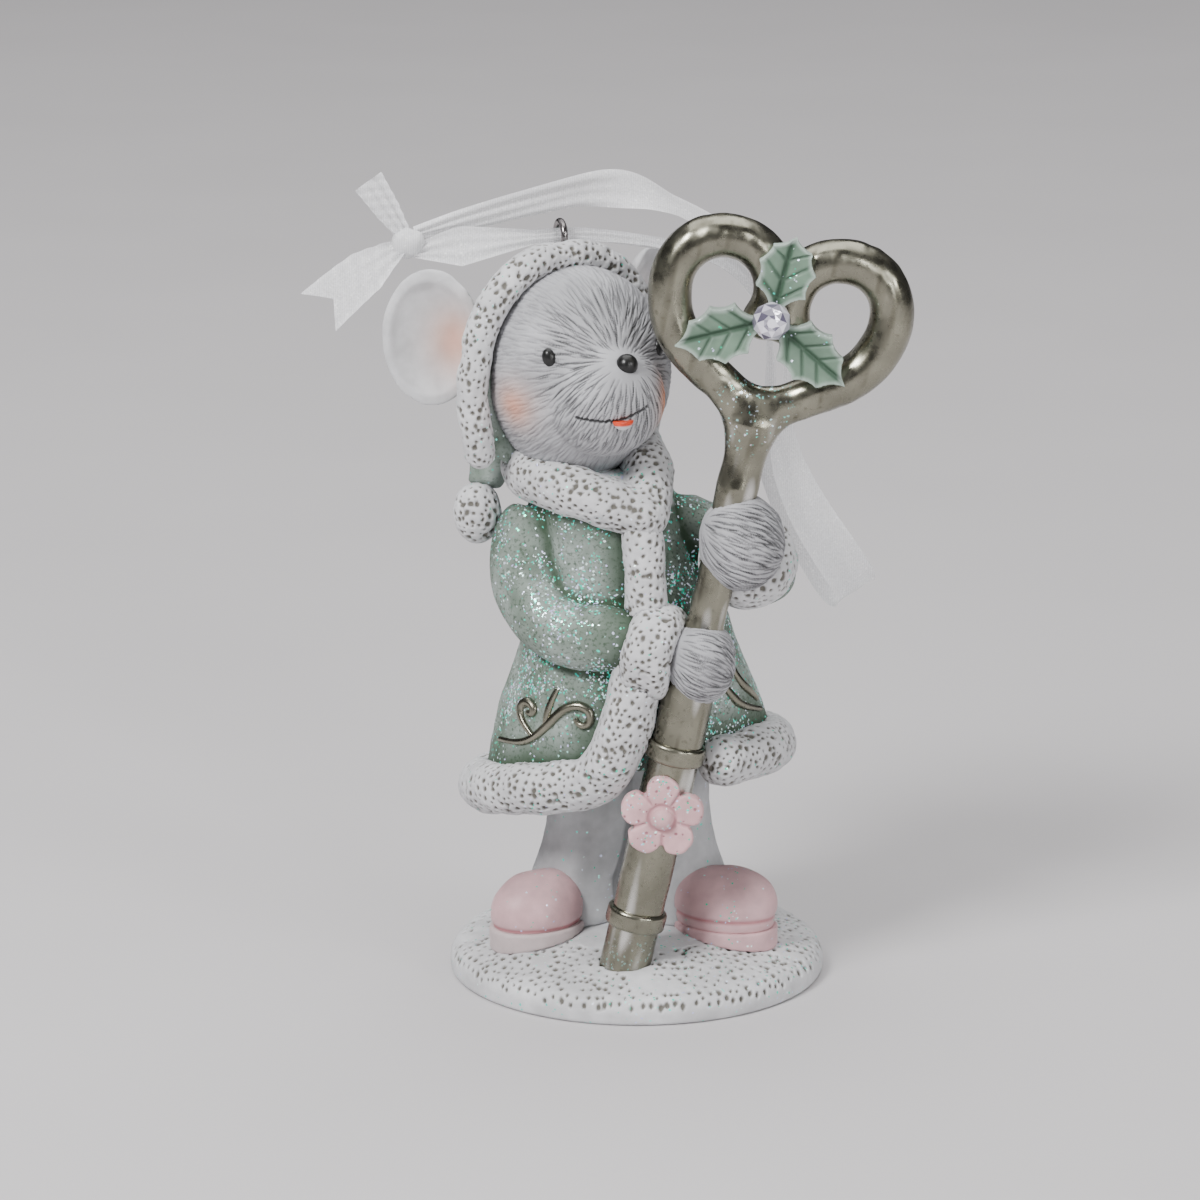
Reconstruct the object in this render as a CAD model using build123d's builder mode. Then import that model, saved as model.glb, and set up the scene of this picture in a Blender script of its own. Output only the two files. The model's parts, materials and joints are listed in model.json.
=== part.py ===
"""Standing and hanging mouse figurine with a heart-topped key, one file per piece (mm)."""
import os
from math import acos, cos, degrees, pi, radians, sin, sqrt, tan

from build123d import *

os.makedirs("parts", exist_ok=True)

# Snow base
BASE_RADIUS = 24.0
BASE_HEIGHT = 6.2
BASE_EDGE_HEIGHT = 3.0
BASE_EDGE_ROUND = 2.3
BASE_FOOT_ROUND = 0.5
STAND = BASE_HEIGHT

# Boots and trousers
BOOT_LENGTH = 13.8
BOOT_WIDTH = 10.4
BOOT_HEIGHT = 8.4
SOLE_HEIGHT = 1.9
SOLE_EDGE = 0.25
BOOT_DROP = 1.2
RIGHT_BOOT = (-12.1, -3.7)
LEFT_BOOT = (11.2, -3.3)
RIGHT_BOOT_TURN = 212.0
LEFT_BOOT_TURN = -34.0
LEG_RADIUS = 5.4
LEG_CUFF_RADIUS = 6.2
LEG_SPACING = 9.7
LEG_X = -1.0
LEG_Y = 2.2
LEG_LEAN = 0.5

# Coat: hem plane, then sections as (share of the way to the neck, x, y, half width, half depth)
HEM_HEIGHT = 20.8
HEM_X = -1.2
HEM_Y = 0.2
HEM_ROLL = 0.155
HEM_PITCH = 0.15
HEM_HALF_WIDTH = 18.8
HEM_HALF_DEPTH = 13.6
HEM_TRIM_RADIUS = 3.25
HEM_CORNER = 1.2
COAT_SECTIONS = (
    (0.227, -0.9, -0.2, 16.4, 12.2),
    (0.43, -1.2, -0.6, 13.7, 10.9),
    (0.657, -2.4, -0.9, 11.6, 9.8),
    (0.86, -3.8, -1.2, 10.3, 8.8),
    (1.0, -5.4, -1.6, 7.4, 7.0),
)
NECK_HEIGHT = 60.4
COAT_STEPS = 9
FRONT_TRIM_RADIUS = 2.5
FRONT_TRIM_SINK = 0.9
COLLAR_RADIUS = 3.2

# Head, turned to its left, with hood and ears
HEAD_X = -7.5
HEAD_Y = -1.5
HEAD_HEIGHT = 72.3
HEAD_TURN = 25.0
HEAD_RADII = (11.3, 11.0, 12.9)
MUZZLE_RADII = (7.3, 7.4, 6.9)
MUZZLE_FORWARD = 8.0
MUZZLE_DROP = 1.8
NOSE_RADIUS = 1.25
EYE_RADII = (0.75, 0.6, 1.1)
TONGUE_RADII = (1.5, 1.0, 0.9)
HOOD_GAP = 1.7
HOOD_BACK = 2.0
HOOD_TURN = 7.0
HOOD_SIDE = -0.9
HOOD_SPREAD = 0.6
HOOD_TRIM_RADIUS = 1.9
EAR_RADII = (6.3, 3.4, 8.7)
EAR_RIM = 0.16
EAR_BACK = 0.4
TAIL_RADIUS = 4.6
TAIL_END_RADIUS = 2.3
POMPOM_RADII = (3.0, 3.1, 3.9)

# Key
KEY_X = -1.9
KEY_Y = -13.5
KEY_TILT = 12.5
KEY_FOOT = -3.0
KEY_RADIUS = 3.15
KEY_GRIP_RADIUS = 2.25
KEY_NECK_RADIUS = 2.6
KEY_FLARE_RADIUS = 4.4
KEY_FLARE_LENGTH = 8.0
KEY_GAP = 1.2
RING_EDGE = 0.6
RING_LENGTH = 2.4
LOWER_RING_AT = 6.7
UPPER_RING_AT = 29.0
BOW_AT = 73.6
BOW_TUBE = 2.65
BOW_FILLET = 2.2
LOBE_RADIUS = 6.4
LOBE_OUT = 7.3
LOBE_UP = 15.2
FLANK_RADIUS = 10.7
FLANK_TURN = 56.0
LEAF_LENGTH = 12.3
LEAF_WIDTH = 7.2
LEAF_THICKNESS = 1.3
LEAF_SINK = 0.5
LEAF_BARBS = ((0.3, 0.44), (0.55, 0.5), (0.79, 0.34))
LEAF_SCALLOP = 0.42
LEAF_UP = 13.1
LEAF_SIDE = -0.9
GEM_RADIUS = 2.4
GEM_HEIGHT = 1.9
FLOWER_AT = 22.4
PETAL_RADIUS = 2.15
PETAL_OUT = 3.1
FLOWER_THICKNESS = 1.6
FLOWER_SINK = 0.7
BEAD_RADIUS = 1.35

# Arms: where each paw holds the key, and the bends of each sleeve
RIGHT_GRIP_AT = 42.2
LEFT_GRIP_AT = 58.2
RIGHT_PAW_RADII = (4.3, 4.9, 5.2)
LEFT_PAW_RADII = (5.3, 5.1, 6.0)
RIGHT_PAW_SHIFT = (0.6, -0.5)
LEFT_PAW_SHIFT = (2.1, -0.3)
CUFF_RADIUS = 6.0
CUFF_LENGTH = 6.2
CUFF_ROUND = 1.9
WRIST_RADIUS = 3.9
SLEEVE_RADIUS = 5.0
RIGHT_SHOULDER = (-11.0, -1.6, 53.4)
RIGHT_ARM = (-13.5, -4.2, 47.0)
RIGHT_ELBOW = (-10.4, -8.2, 41.4)
RIGHT_FOREARM = (-4.6, -10.8, 40.4)
RIGHT_CUFF = (2.0, -12.5, 39.2)
LEFT_SHOULDER = (2.6, -1.4, 52.4)
LEFT_ARM = (9.6, -0.4, 49.4)
LEFT_ELBOW = (14.6, -3.4, 47.4)
LEFT_CUFF = (13.7, -8.9, 49.9)

# Screw eye and ribbon
EYE_WIRE = 0.45
EYE_RING = 1.75
EYE_SIDE = 1.9
EYE_BACK = 5.6
EYE_LIFT = 1.4
EYE_DEPTH = 7.0
EYE_TURN = 17.0
RIBBON_RADIUS = 0.75
KNOT_RADII = (2.2, 1.7, 2.0)


def above(x, y, height):
    """A point given by its height above the stand."""
    return Vector(x, y, STAND + height)


def blob(radii):
    """A solid ellipsoid about the origin."""
    with BuildPart() as ball:
        Sphere(1)
        scale(by=tuple(radii))
    return ball.part


def reach(radii, direction):
    """Where a line from an ellipsoid's centre leaves its surface."""
    way = Vector(*direction)
    size = sqrt((way.X / radii[0]) ** 2 + (way.Y / radii[1]) ** 2 + (way.Z / radii[2]) ** 2)
    return way / size


def bends(points, share=0.45):
    """Bend radii at the inner points, each as wide as its shorter run allows."""
    radii = []
    for before, here, after in zip(points, points[1:], points[2:]):
        way_in = Vector(here) - Vector(before)
        way_out = Vector(after) - Vector(here)
        turn = radians(way_in.get_angle(way_out))
        radii.append(share * min(way_in.length, way_out.length) / tan(turn / 2))
    return radii


def tube(points, radius, capped=True):
    """A round tube along straight runs and arcs."""
    with BuildPart() as rod:
        with BuildLine() as path:
            FilletPolyline(*points, radius=bends(points))
        with BuildSketch(Plane(origin=path.line @ 0, z_dir=path.line % 0)):
            Circle(radius)
        sweep()
        if capped:
            with Locations(path.line @ 0, path.line @ 1):
                Sphere(radius)
    return rod.part


def limb(stations):
    """A smooth limb through (point, radius) stations."""
    points = [Vector(point) for point, radius in stations]
    with BuildPart() as flesh:
        for i, (point, radius) in enumerate(stations):
            ahead = points[min(i + 1, len(points) - 1)] - points[max(i - 1, 0)]
            with BuildSketch(Plane(origin=point, z_dir=ahead)):
                Circle(radius)
        loft()
    return flesh.part


COAT_ROWS = [(HEM_HEIGHT, HEM_X, HEM_Y, HEM_HALF_WIDTH, HEM_HALF_DEPTH)]
COAT_ROWS += [(HEM_HEIGHT + share * (NECK_HEIGHT - HEM_HEIGHT), *row) for share, *row in COAT_SECTIONS]


def coat_section(height):
    """The coat's (x, y, half width, half depth) at a height above the stand, smooth through its rows."""
    last = len(COAT_ROWS) - 1
    i = max([k for k in range(last) if COAT_ROWS[k][0] <= height], default=0)
    before, low, high, after = (COAT_ROWS[min(max(k, 0), last)] for k in range(i - 1, i + 3))
    span = high[0] - low[0]
    t = (height - low[0]) / span
    found = []
    for a, b, c, d in zip(before[1:], low[1:], high[1:], after[1:]):
        slope_low = (c - a) / (high[0] - before[0]) * span
        slope_high = (d - b) / (after[0] - low[0]) * span
        found.append(
            b * (1 + 2 * t) * (1 - t) ** 2
            + slope_low * t * (1 - t) ** 2
            + c * t**2 * (3 - 2 * t)
            + slope_high * t**2 * (t - 1)
        )
    return found


def coat_front(x, height, out=0.0):
    """A point on the coat's front, moved outward."""
    cx, cy, half_width, half_depth = coat_section(height)
    return above(x, cy - half_depth * sqrt(1 - ((x - cx) / half_width) ** 2) - out, height)


# Frames of the turned head and the leaning key
HEAD = Plane(
    origin=above(HEAD_X, HEAD_Y, HEAD_HEIGHT),
    x_dir=(cos(radians(HEAD_TURN)), sin(radians(HEAD_TURN)), 0),
    z_dir=(0, 0, 1),
)
KEY = Plane(
    origin=above(KEY_X, KEY_Y, KEY_FOOT),
    x_dir=(cos(radians(KEY_TILT)), 0, -sin(radians(KEY_TILT))),
    z_dir=(sin(radians(KEY_TILT)), 0, cos(radians(KEY_TILT))),
)
BOW = Plane(origin=KEY.from_local_coords((0, 0, BOW_AT)), x_dir=KEY.x_dir, z_dir=(0, -1, 0))
HEM = Plane(
    origin=above(HEM_X, HEM_Y, HEM_HEIGHT),
    x_dir=(1, 0, HEM_ROLL),
    z_dir=(-HEM_ROLL, HEM_PITCH, 1),
)


# Key shank
NECK = (KEY_NECK_RADIUS, BOW_AT - KEY_FLARE_LENGTH)
with BuildPart() as key_shank:
    with BuildSketch(Plane(origin=KEY.origin, x_dir=KEY.x_dir, z_dir=(0, -1, 0))):
        with BuildLine():
            Polyline(
                (0, 0),
                (KEY_RADIUS, 0),
                (KEY_RADIUS, UPPER_RING_AT + RING_LENGTH),
                (KEY_RADIUS - 0.1, RIGHT_GRIP_AT),
                (KEY_GRIP_RADIUS, RIGHT_GRIP_AT + RIGHT_PAW_RADII[2]),
                (KEY_GRIP_RADIUS, LEFT_GRIP_AT),
                NECK,
            )
            Spline(NECK, (KEY_FLARE_RADIUS, BOW_AT), tangents=((0, 1), (1, 1.2)))
            Polyline((KEY_FLARE_RADIUS, BOW_AT), (0, BOW_AT), (0, 0))
        make_face()
    revolve(axis=Axis(KEY.origin, KEY.z_dir))

# Key rings
rings = {}
for name, at in (("key_lower_ring", LOWER_RING_AT), ("key_upper_ring", UPPER_RING_AT)):
    with BuildPart() as ring:
        with BuildSketch(KEY.offset(at)):
            Circle(KEY_RADIUS + RING_EDGE)
            Circle(KEY_RADIUS, mode=Mode.SUBTRACT)
        extrude(amount=RING_LENGTH)
        fillet(ring.edges().group_by(SortBy.LENGTH)[-1], 0.45)
    rings[name] = ring

# Key bow: one lobe with its flank, mirrored, meeting the shank's flare
with BuildPart() as key_bow:
    with BuildLine(BOW) as lobe_path:
        lobe = CenterArc((LOBE_OUT, LOBE_UP), LOBE_RADIUS, 205, -205)
        flank = JernArc(lobe @ 1, lobe % 1, FLANK_RADIUS, -FLANK_TURN)
        inward = BOW.to_local_coords(flank @ 1).X / sin(radians(FLANK_TURN))
        PolarLine(flank @ 1, inward, direction=flank % 1)
    with BuildSketch(Plane(origin=lobe_path.line @ 0, z_dir=lobe_path.line % 0)):
        Circle(BOW_TUBE)
    sweep()
    with Locations(lobe_path.line @ 0, lobe_path.line @ 1):
        Sphere(BOW_TUBE)
    mirror(about=Plane(origin=BOW.origin, x_dir=(0, 1, 0), z_dir=BOW.x_dir))
    add(key_shank.part, mode=Mode.SUBTRACT)
    for low, high in ((0, LEAF_UP / 2), (LEAF_UP, LOBE_UP + LOBE_RADIUS)):
        spots = [(edge, BOW.to_local_coords(edge.center())) for edge in key_bow.edges()]
        seam = [edge for edge, spot in spots if abs(spot.X) < 0.05 and low + 0.5 < spot.Y < high]
        fillet(seam, BOW_FILLET)

# Holly leaves: three spiked blades round the rhinestone's seat
HEART = Plane(
    origin=BOW.from_local_coords((LEAF_SIDE, LEAF_UP, BOW_TUBE - LEAF_SINK)),
    x_dir=KEY.x_dir,
    z_dir=(0, -1, 0),
)
leaves = {}
for name, angle in (("upper_leaf", 86), ("right_leaf", 208), ("left_leaf", -30)):
    with BuildPart() as leaf:
        blade = HEART.x_dir * cos(radians(angle)) + HEART.y_dir * sin(radians(angle))
        with BuildSketch(Plane(origin=HEART.origin, x_dir=blade, z_dir=HEART.z_dir)):
            with BuildLine():
                stem = (1.5, 0.75)
                tip = (LEAF_LENGTH, 0)
                barbs = [(LEAF_LENGTH * along, LEAF_WIDTH * out) for along, out in LEAF_BARBS]
                for start, end in zip([stem, *barbs], [*barbs, tip]):
                    SagittaArc(start, end, -LEAF_SCALLOP)
                Line((stem[0], 0), stem)
                Line(tip, (stem[0], 0))
            make_face()
            mirror(about=Plane.XZ)
        extrude(amount=LEAF_THICKNESS)
        add(key_bow.part, mode=Mode.SUBTRACT)
        for other in leaves.values():
            add(other.part, mode=Mode.SUBTRACT)
    leaves[name] = leaf

# Rhinestone: girdle and crown facets, flat back on the leaves
with BuildPart() as rhinestone:
    GEM_SEAT = Plane(
        origin=HEART.from_local_coords((0, 0, LEAF_THICKNESS)), x_dir=HEART.x_dir, z_dir=HEART.z_dir
    )
    with BuildSketch(GEM_SEAT):
        RegularPolygon(GEM_RADIUS, 8)
    extrude(amount=GEM_HEIGHT * 0.35)
    with BuildSketch(GEM_SEAT.offset(GEM_HEIGHT * 0.35)):
        RegularPolygon(GEM_RADIUS, 8)
    with BuildSketch(GEM_SEAT.offset(GEM_HEIGHT)):
        RegularPolygon(GEM_RADIUS * 0.58, 8)
    loft(ruled=True)

# Flower on the shank
FLOWER = Plane(
    origin=KEY.from_local_coords((0, -KEY_RADIUS + FLOWER_SINK, FLOWER_AT)),
    x_dir=(1, 0, 0),
    z_dir=(0, -1, 0),
)
with BuildPart() as flower:
    with BuildSketch(FLOWER):
        Circle(PETAL_OUT * 0.75)
        with PolarLocations(PETAL_OUT, 5, start_angle=15):
            Circle(PETAL_RADIUS)
    extrude(amount=FLOWER_THICKNESS)
    fillet(flower.faces().sort_by(Axis.Y)[0].edges(), 0.35)
    add(key_shank.part, mode=Mode.SUBTRACT)
with BuildPart() as flower_centre:
    with Locations(FLOWER.from_local_coords((0, 0, FLOWER_THICKNESS))):
        Sphere(BEAD_RADIUS)
    add(flower.part, mode=Mode.SUBTRACT)
    add(key_shank.part, mode=Mode.SUBTRACT)

# Snow base, with the socket of the key's foot
with BuildPart() as snow_base:
    with BuildSketch(Plane.XZ) as mound:
        with BuildLine():
            sag = BASE_HEIGHT - BASE_EDGE_HEIGHT
            Polyline((0, BASE_HEIGHT), (0, 0), (BASE_RADIUS, 0), (BASE_RADIUS, BASE_EDGE_HEIGHT))
            dome = (BASE_RADIUS**2 + sag**2) / (2 * sag)
            RadiusArc((BASE_RADIUS, BASE_EDGE_HEIGHT), (0, BASE_HEIGHT), -dome)
        make_face()
        rim = mound.vertices().group_by(Axis.X)[-1].sort_by(Axis.Y)
        fillet(rim[-1], BASE_EDGE_ROUND)
        fillet(mound.vertices().sort_by(Axis.Y)[:2].sort_by(Axis.X)[-1], BASE_FOOT_ROUND)
    revolve(axis=Axis.Z)
    add(key_shank.part, mode=Mode.SUBTRACT)

# Boots on their soles, seated on the dome
soles = {}
boots = {}
for side, (x, y), turn in (
    ("right", RIGHT_BOOT, RIGHT_BOOT_TURN),
    ("left", LEFT_BOOT, LEFT_BOOT_TURN),
):
    foot = Location(above(x, y, -BOOT_DROP), (0, 0, turn))
    with BuildPart() as sole:
        with BuildSketch(Plane(foot).offset(-2)):
            Ellipse(BOOT_LENGTH / 2 + SOLE_EDGE, BOOT_WIDTH / 2 + SOLE_EDGE)
        extrude(amount=SOLE_HEIGHT + 2)
        add(snow_base.part, mode=Mode.SUBTRACT)
    with BuildPart() as boot:
        body = (BOOT_LENGTH / 2, BOOT_WIDTH / 2, BOOT_HEIGHT * 0.62)
        with Locations(foot * Pos(0, 0, BOOT_HEIGHT * 0.38)):
            add(blob(body))
        with Locations(foot * Pos(0, 0, SOLE_HEIGHT)):
            Box(40, 40, 40, align=(Align.CENTER, Align.CENTER, Align.MAX), mode=Mode.SUBTRACT)
    soles[side + "_sole"] = sole
    boots[side + "_boot"] = boot

# Coat: hem to shoulders, open where the key stands in front
with BuildPart() as coat:
    with BuildSketch(HEM):
        Ellipse(HEM_HALF_WIDTH, HEM_HALF_DEPTH)
    for i in range(COAT_STEPS + 1):
        height = COAT_ROWS[1][0] + (NECK_HEIGHT - COAT_ROWS[1][0]) * i / COAT_STEPS
        x, y, half_width, half_depth = coat_section(height)
        with BuildSketch(Plane(above(x, y, height))):
            Ellipse(half_width, half_depth)
    loft(ruled=True)
    with BuildSketch(KEY):
        with Locations((0, -HEM_HALF_DEPTH)):
            Rectangle(2 * (KEY_RADIUS + KEY_GAP), 2 * HEM_HALF_DEPTH)
        Circle(KEY_RADIUS + KEY_GAP)
    extrude(amount=BOW_AT, mode=Mode.SUBTRACT)

# Trousers: two flared legs joined under the coat
with BuildPart() as trousers:
    for side in (-1, 1):
        knee = LEG_X + side * LEG_SPACING / 2
        with BuildSketch(Plane(above(knee + side * LEG_LEAN, LEG_Y, -2))):
            Circle(LEG_CUFF_RADIUS)
        with BuildSketch(Plane(above(knee, LEG_Y, HEM_HEIGHT * 0.6))):
            Circle(LEG_RADIUS)
        with BuildSketch(Plane(above(knee - side * LEG_LEAN, LEG_Y, HEM_HEIGHT + 6))):
            Circle(LEG_RADIUS + 0.6)
        loft()
    add(coat.part, mode=Mode.SUBTRACT)
    add(snow_base.part, mode=Mode.SUBTRACT)
    for piece in (*boots.values(), *soles.values()):
        add(piece.part, mode=Mode.SUBTRACT)

# Arms: sleeve, fur cuff and paw, each paw bored for the shank
sleeves = {}
cuffs = {}
paws = {}
for side, stations, cuff_spot, grip_at, shift, paw_radii in (
    (
        "right",
        (RIGHT_SHOULDER, RIGHT_ARM, RIGHT_ELBOW, RIGHT_FOREARM),
        RIGHT_CUFF,
        RIGHT_GRIP_AT,
        RIGHT_PAW_SHIFT,
        RIGHT_PAW_RADII,
    ),
    (
        "left",
        (LEFT_SHOULDER, LEFT_ARM, LEFT_ELBOW),
        LEFT_CUFF,
        LEFT_GRIP_AT,
        LEFT_PAW_SHIFT,
        LEFT_PAW_RADII,
    ),
):
    paw_centre = KEY.from_local_coords((shift[0], shift[1], grip_at))
    cuff_centre = above(*cuff_spot)
    wrist = paw_centre - cuff_centre
    cuff_plane = Plane(origin=cuff_centre, z_dir=wrist)
    with BuildPart() as sleeve:
        path = [(above(*spot), SLEEVE_RADIUS * (1.0 - 0.05 * i)) for i, spot in enumerate(stations)]
        add(limb((*path, (cuff_centre, WRIST_RADIUS))))
        for piece in (coat, key_shank):
            add(piece.part, mode=Mode.SUBTRACT)
    with BuildPart() as cuff:
        with BuildSketch(cuff_plane.offset(-CUFF_LENGTH / 2)):
            Circle(CUFF_RADIUS)
        extrude(amount=CUFF_LENGTH)
        fillet(cuff.edges(), CUFF_ROUND)
        for piece in (sleeve, coat, key_shank):
            add(piece.part, mode=Mode.SUBTRACT)
    with BuildPart() as paw:
        with Locations(paw_centre):
            add(blob(paw_radii))
        for piece in (key_shank, cuff, sleeve, coat):
            add(piece.part, mode=Mode.SUBTRACT)
    sleeves[side + "_sleeve"] = sleeve
    cuffs[side + "_cuff"] = cuff
    paws[side + "_paw"] = paw

# Hem trim: from one side of the opening round the hem, then up the front edge behind the cuff
HEM_KEY = KEY.from_local_coords((0, 0, (HEM_HEIGHT - KEY_FOOT) / cos(radians(KEY_TILT)))).X
OPENING = KEY_RADIUS + KEY_GAP + HEM_TRIM_RADIUS
HEM_START = -degrees(acos((HEM_KEY + OPENING - HEM_X) / HEM_HALF_WIDTH))
HEM_END = 360 - degrees(acos((HEM_KEY - OPENING - HEM_X - HEM_CORNER) / HEM_HALF_WIDTH))
FRONT_OUT = FRONT_TRIM_RADIUS - FRONT_TRIM_SINK
with BuildPart() as hem_trim:
    steps = 13
    around = [radians(HEM_START + (HEM_END - HEM_START) * i / steps) for i in range(steps + 1)]
    hem_run = [
        HEM.from_local_coords((HEM_HALF_WIDTH * cos(a), HEM_HALF_DEPTH * sin(a), 0)) for a in around
    ]
    front_run = [
        coat_front(HEM_KEY - OPENING + 1.2, HEM_HEIGHT + 4.8, FRONT_OUT),
        coat_front(HEM_KEY - OPENING + 3.4, HEM_HEIGHT + 11.0, FRONT_OUT),
        coat_front(HEM_KEY - OPENING + 4.8, RIGHT_CUFF[2], FRONT_OUT),
    ]
    add(tube(hem_run + front_run, HEM_TRIM_RADIUS))
    arms = (*sleeves.values(), *cuffs.values(), *paws.values())
    for piece in (coat, trousers, key_shank, *rings.values(), *arms):
        add(piece.part, mode=Mode.SUBTRACT)

# Head: skull and muzzle, with nose, eyes and tongue set on its surface
MUZZLE = Vector(0, -MUZZLE_FORWARD, -MUZZLE_DROP)
with BuildPart() as head:
    with Locations(HEAD.location):
        add(blob(HEAD_RADII))
    with Locations(HEAD.location * Pos(MUZZLE)):
        add(blob(MUZZLE_RADII))
    with Locations(HEAD.location * Pos(0, 1.0, -HEAD_RADII[2])):
        Cylinder(5.0, 8.0)
    add(coat.part, mode=Mode.SUBTRACT)
with BuildPart() as nose:
    with Locations(HEAD.location * Pos(MUZZLE + reach(MUZZLE_RADII, (0.08, -0.7, 0.7)))):
        Sphere(NOSE_RADIUS)
    add(head.part, mode=Mode.SUBTRACT)
eyes = {}
for name, side in (("right_eye", -1), ("left_eye", 1)):
    with BuildPart() as eye:
        spot = reach(HEAD_RADII, (side * 0.66, -0.68, 0.335))
        with Locations(HEAD.location * Pos(spot) * Rot(0, 0, side * 44) * Rot(0, side * 14, 0)):
            add(blob(EYE_RADII))
        add(head.part, mode=Mode.SUBTRACT)
    eyes[name] = eye
with BuildPart() as tongue:
    with Locations(HEAD.location * Pos(MUZZLE + reach(MUZZLE_RADII, (-0.12, -0.95, -0.22)))):
        add(blob(TONGUE_RADII))
    add(head.part, mode=Mode.SUBTRACT)

# Hood behind the face, its fur edge and hanging tail
HOOD_RADII = [radius + HOOD_GAP for radius in HEAD_RADII]
HOOD_RADII[0] += HOOD_SPREAD
HOOD = Plane(
    origin=HEAD.from_local_coords((HOOD_SIDE, 0, 0)),
    x_dir=(cos(radians(HEAD_TURN + HOOD_TURN)), sin(radians(HEAD_TURN + HOOD_TURN)), 0),
    z_dir=(0, 0, 1),
)
with BuildPart() as hood:
    with Locations(HOOD.location):
        add(blob(HOOD_RADII))
        with Locations((0, HOOD_BACK, 0)):
            Box(60, 60, 60, align=(Align.CENTER, Align.MAX, Align.CENTER), mode=Mode.SUBTRACT)
    for piece in (head, coat):
        add(piece.part, mode=Mode.SUBTRACT)
with BuildPart() as hood_trim:
    wide = HOOD_RADII[0] - 0.3
    high = HOOD_RADII[2] - 0.2
    arch = [
        (-wide * 0.92, -high * 0.64),
        (-wide * 1.0, -high * 0.2),
        (-wide * 0.9, high * 0.5),
        (-wide * 0.42, high * 0.98),
        (wide * 0.42, high * 0.98),
        (wide * 0.9, high * 0.5),
        (wide * 1.0, -high * 0.25),
        (wide * 0.9, -high * 0.66),
    ]
    add(tube([HOOD.from_local_coords((u, HOOD_BACK, w)) for u, w in arch], HOOD_TRIM_RADIUS))
    for piece in (hood, head, coat):
        add(piece.part, mode=Mode.SUBTRACT)
POMPOM = above(-20.1, -0.2, 53.8)
with BuildPart() as hood_tail:
    add(
        limb(
            (
                (HEAD.from_local_coords((-1.5, HOOD_RADII[1] - 2.5, 2.0)), TAIL_RADIUS),
                (HEAD.from_local_coords((-4.4, HOOD_RADII[1] - 0.8, -4.5)), TAIL_RADIUS * 0.85),
                (HEAD.from_local_coords((-7.9, HOOD_RADII[1] - 4.4, -10.5)), TAIL_RADIUS * 0.62),
                (POMPOM + (1.0, 0.8, POMPOM_RADII[2] - 0.6), TAIL_END_RADIUS),
            )
        )
    )
    for piece in (hood, hood_trim, head, coat):
        add(piece.part, mode=Mode.SUBTRACT)

# Ears, dished, set into the hood's sides
with BuildPart() as ear_shell:
    with BuildSketch(Plane.XY):
        with BuildLine():
            back = ThreePointArc((1, 0), (0.72, 0.7), (0, 1))
            Line((0, 1), (0, 1 - EAR_BACK))
            ThreePointArc((0, 1 - EAR_BACK), (0.6, 0.42), (1 - EAR_RIM, 0))
            RadiusArc((1 - EAR_RIM, 0), (1, 0), EAR_RIM * 0.51)
        make_face()
    revolve(axis=Axis.Y)
    scale(by=EAR_RADII)
shell = ear_shell.part
ears = {}
for name, spot, turn in (
    ("right_ear", (-16.9, 6.9, 4.3), -HEAD_TURN - 4),
    ("left_ear", (15.0, 9.6, 4.3), HEAD_TURN + 12),
):
    with BuildPart() as ear:
        with Locations(HEAD.location * Pos(spot) * Rot(0, 0, turn)):
            add(shell)
        with Locations(HOOD.location):
            add(blob(HOOD_RADII), mode=Mode.SUBTRACT)
        add(hood_trim.part, mode=Mode.SUBTRACT)
    ears[name] = ear

# Collar: fur round the neck, its two ends meeting in a V
COLLAR_V = above(0.6, -10.4, 56.0)
COLLAR_RIGHT = above(1.2, -5.8, 60.4)
with BuildPart() as collar:
    add(
        tube(
            [
                COLLAR_V,
                above(-7.2, -9.6, 58.6),
                above(-13.6, -5.2, 59.6),
                above(-14.0, 3.0, 61.2),
                above(-6.2, 7.0, 62.6),
                above(-0.2, 2.6, 62.4),
                COLLAR_RIGHT,
            ],
            COLLAR_RADIUS,
        )
    )
    with BuildLine() as lapel:
        Line(COLLAR_RIGHT, COLLAR_V)
    with BuildSketch(Plane(origin=COLLAR_RIGHT, z_dir=lapel.line % 0)):
        Circle(COLLAR_RADIUS)
    sweep()
    for piece in (coat, head, hood, hood_trim, hood_tail, *sleeves.values()):
        add(piece.part, mode=Mode.SUBTRACT)
with BuildPart() as pompom:
    with Locations(POMPOM):
        add(blob(POMPOM_RADII))
    for piece in (coat, collar, hood_tail, *sleeves.values()):
        add(piece.part, mode=Mode.SUBTRACT)

# Front trim above the cuff, up to the collar
with BuildPart() as front_trim:
    add(
        tube(
            [
                coat_front(0.9, RIGHT_CUFF[2], FRONT_OUT),
                coat_front(0.9, 48.0, FRONT_OUT),
                coat_front(0.3, 55.0, FRONT_OUT),
            ],
            FRONT_TRIM_RADIUS,
        )
    )
    for piece in (coat, hem_trim, key_shank, collar, *arms):
        add(piece.part, mode=Mode.SUBTRACT)
with BuildPart() as chest_trim:
    add(front_trim.part.solids().sort_by(Axis.Z)[-1])

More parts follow.
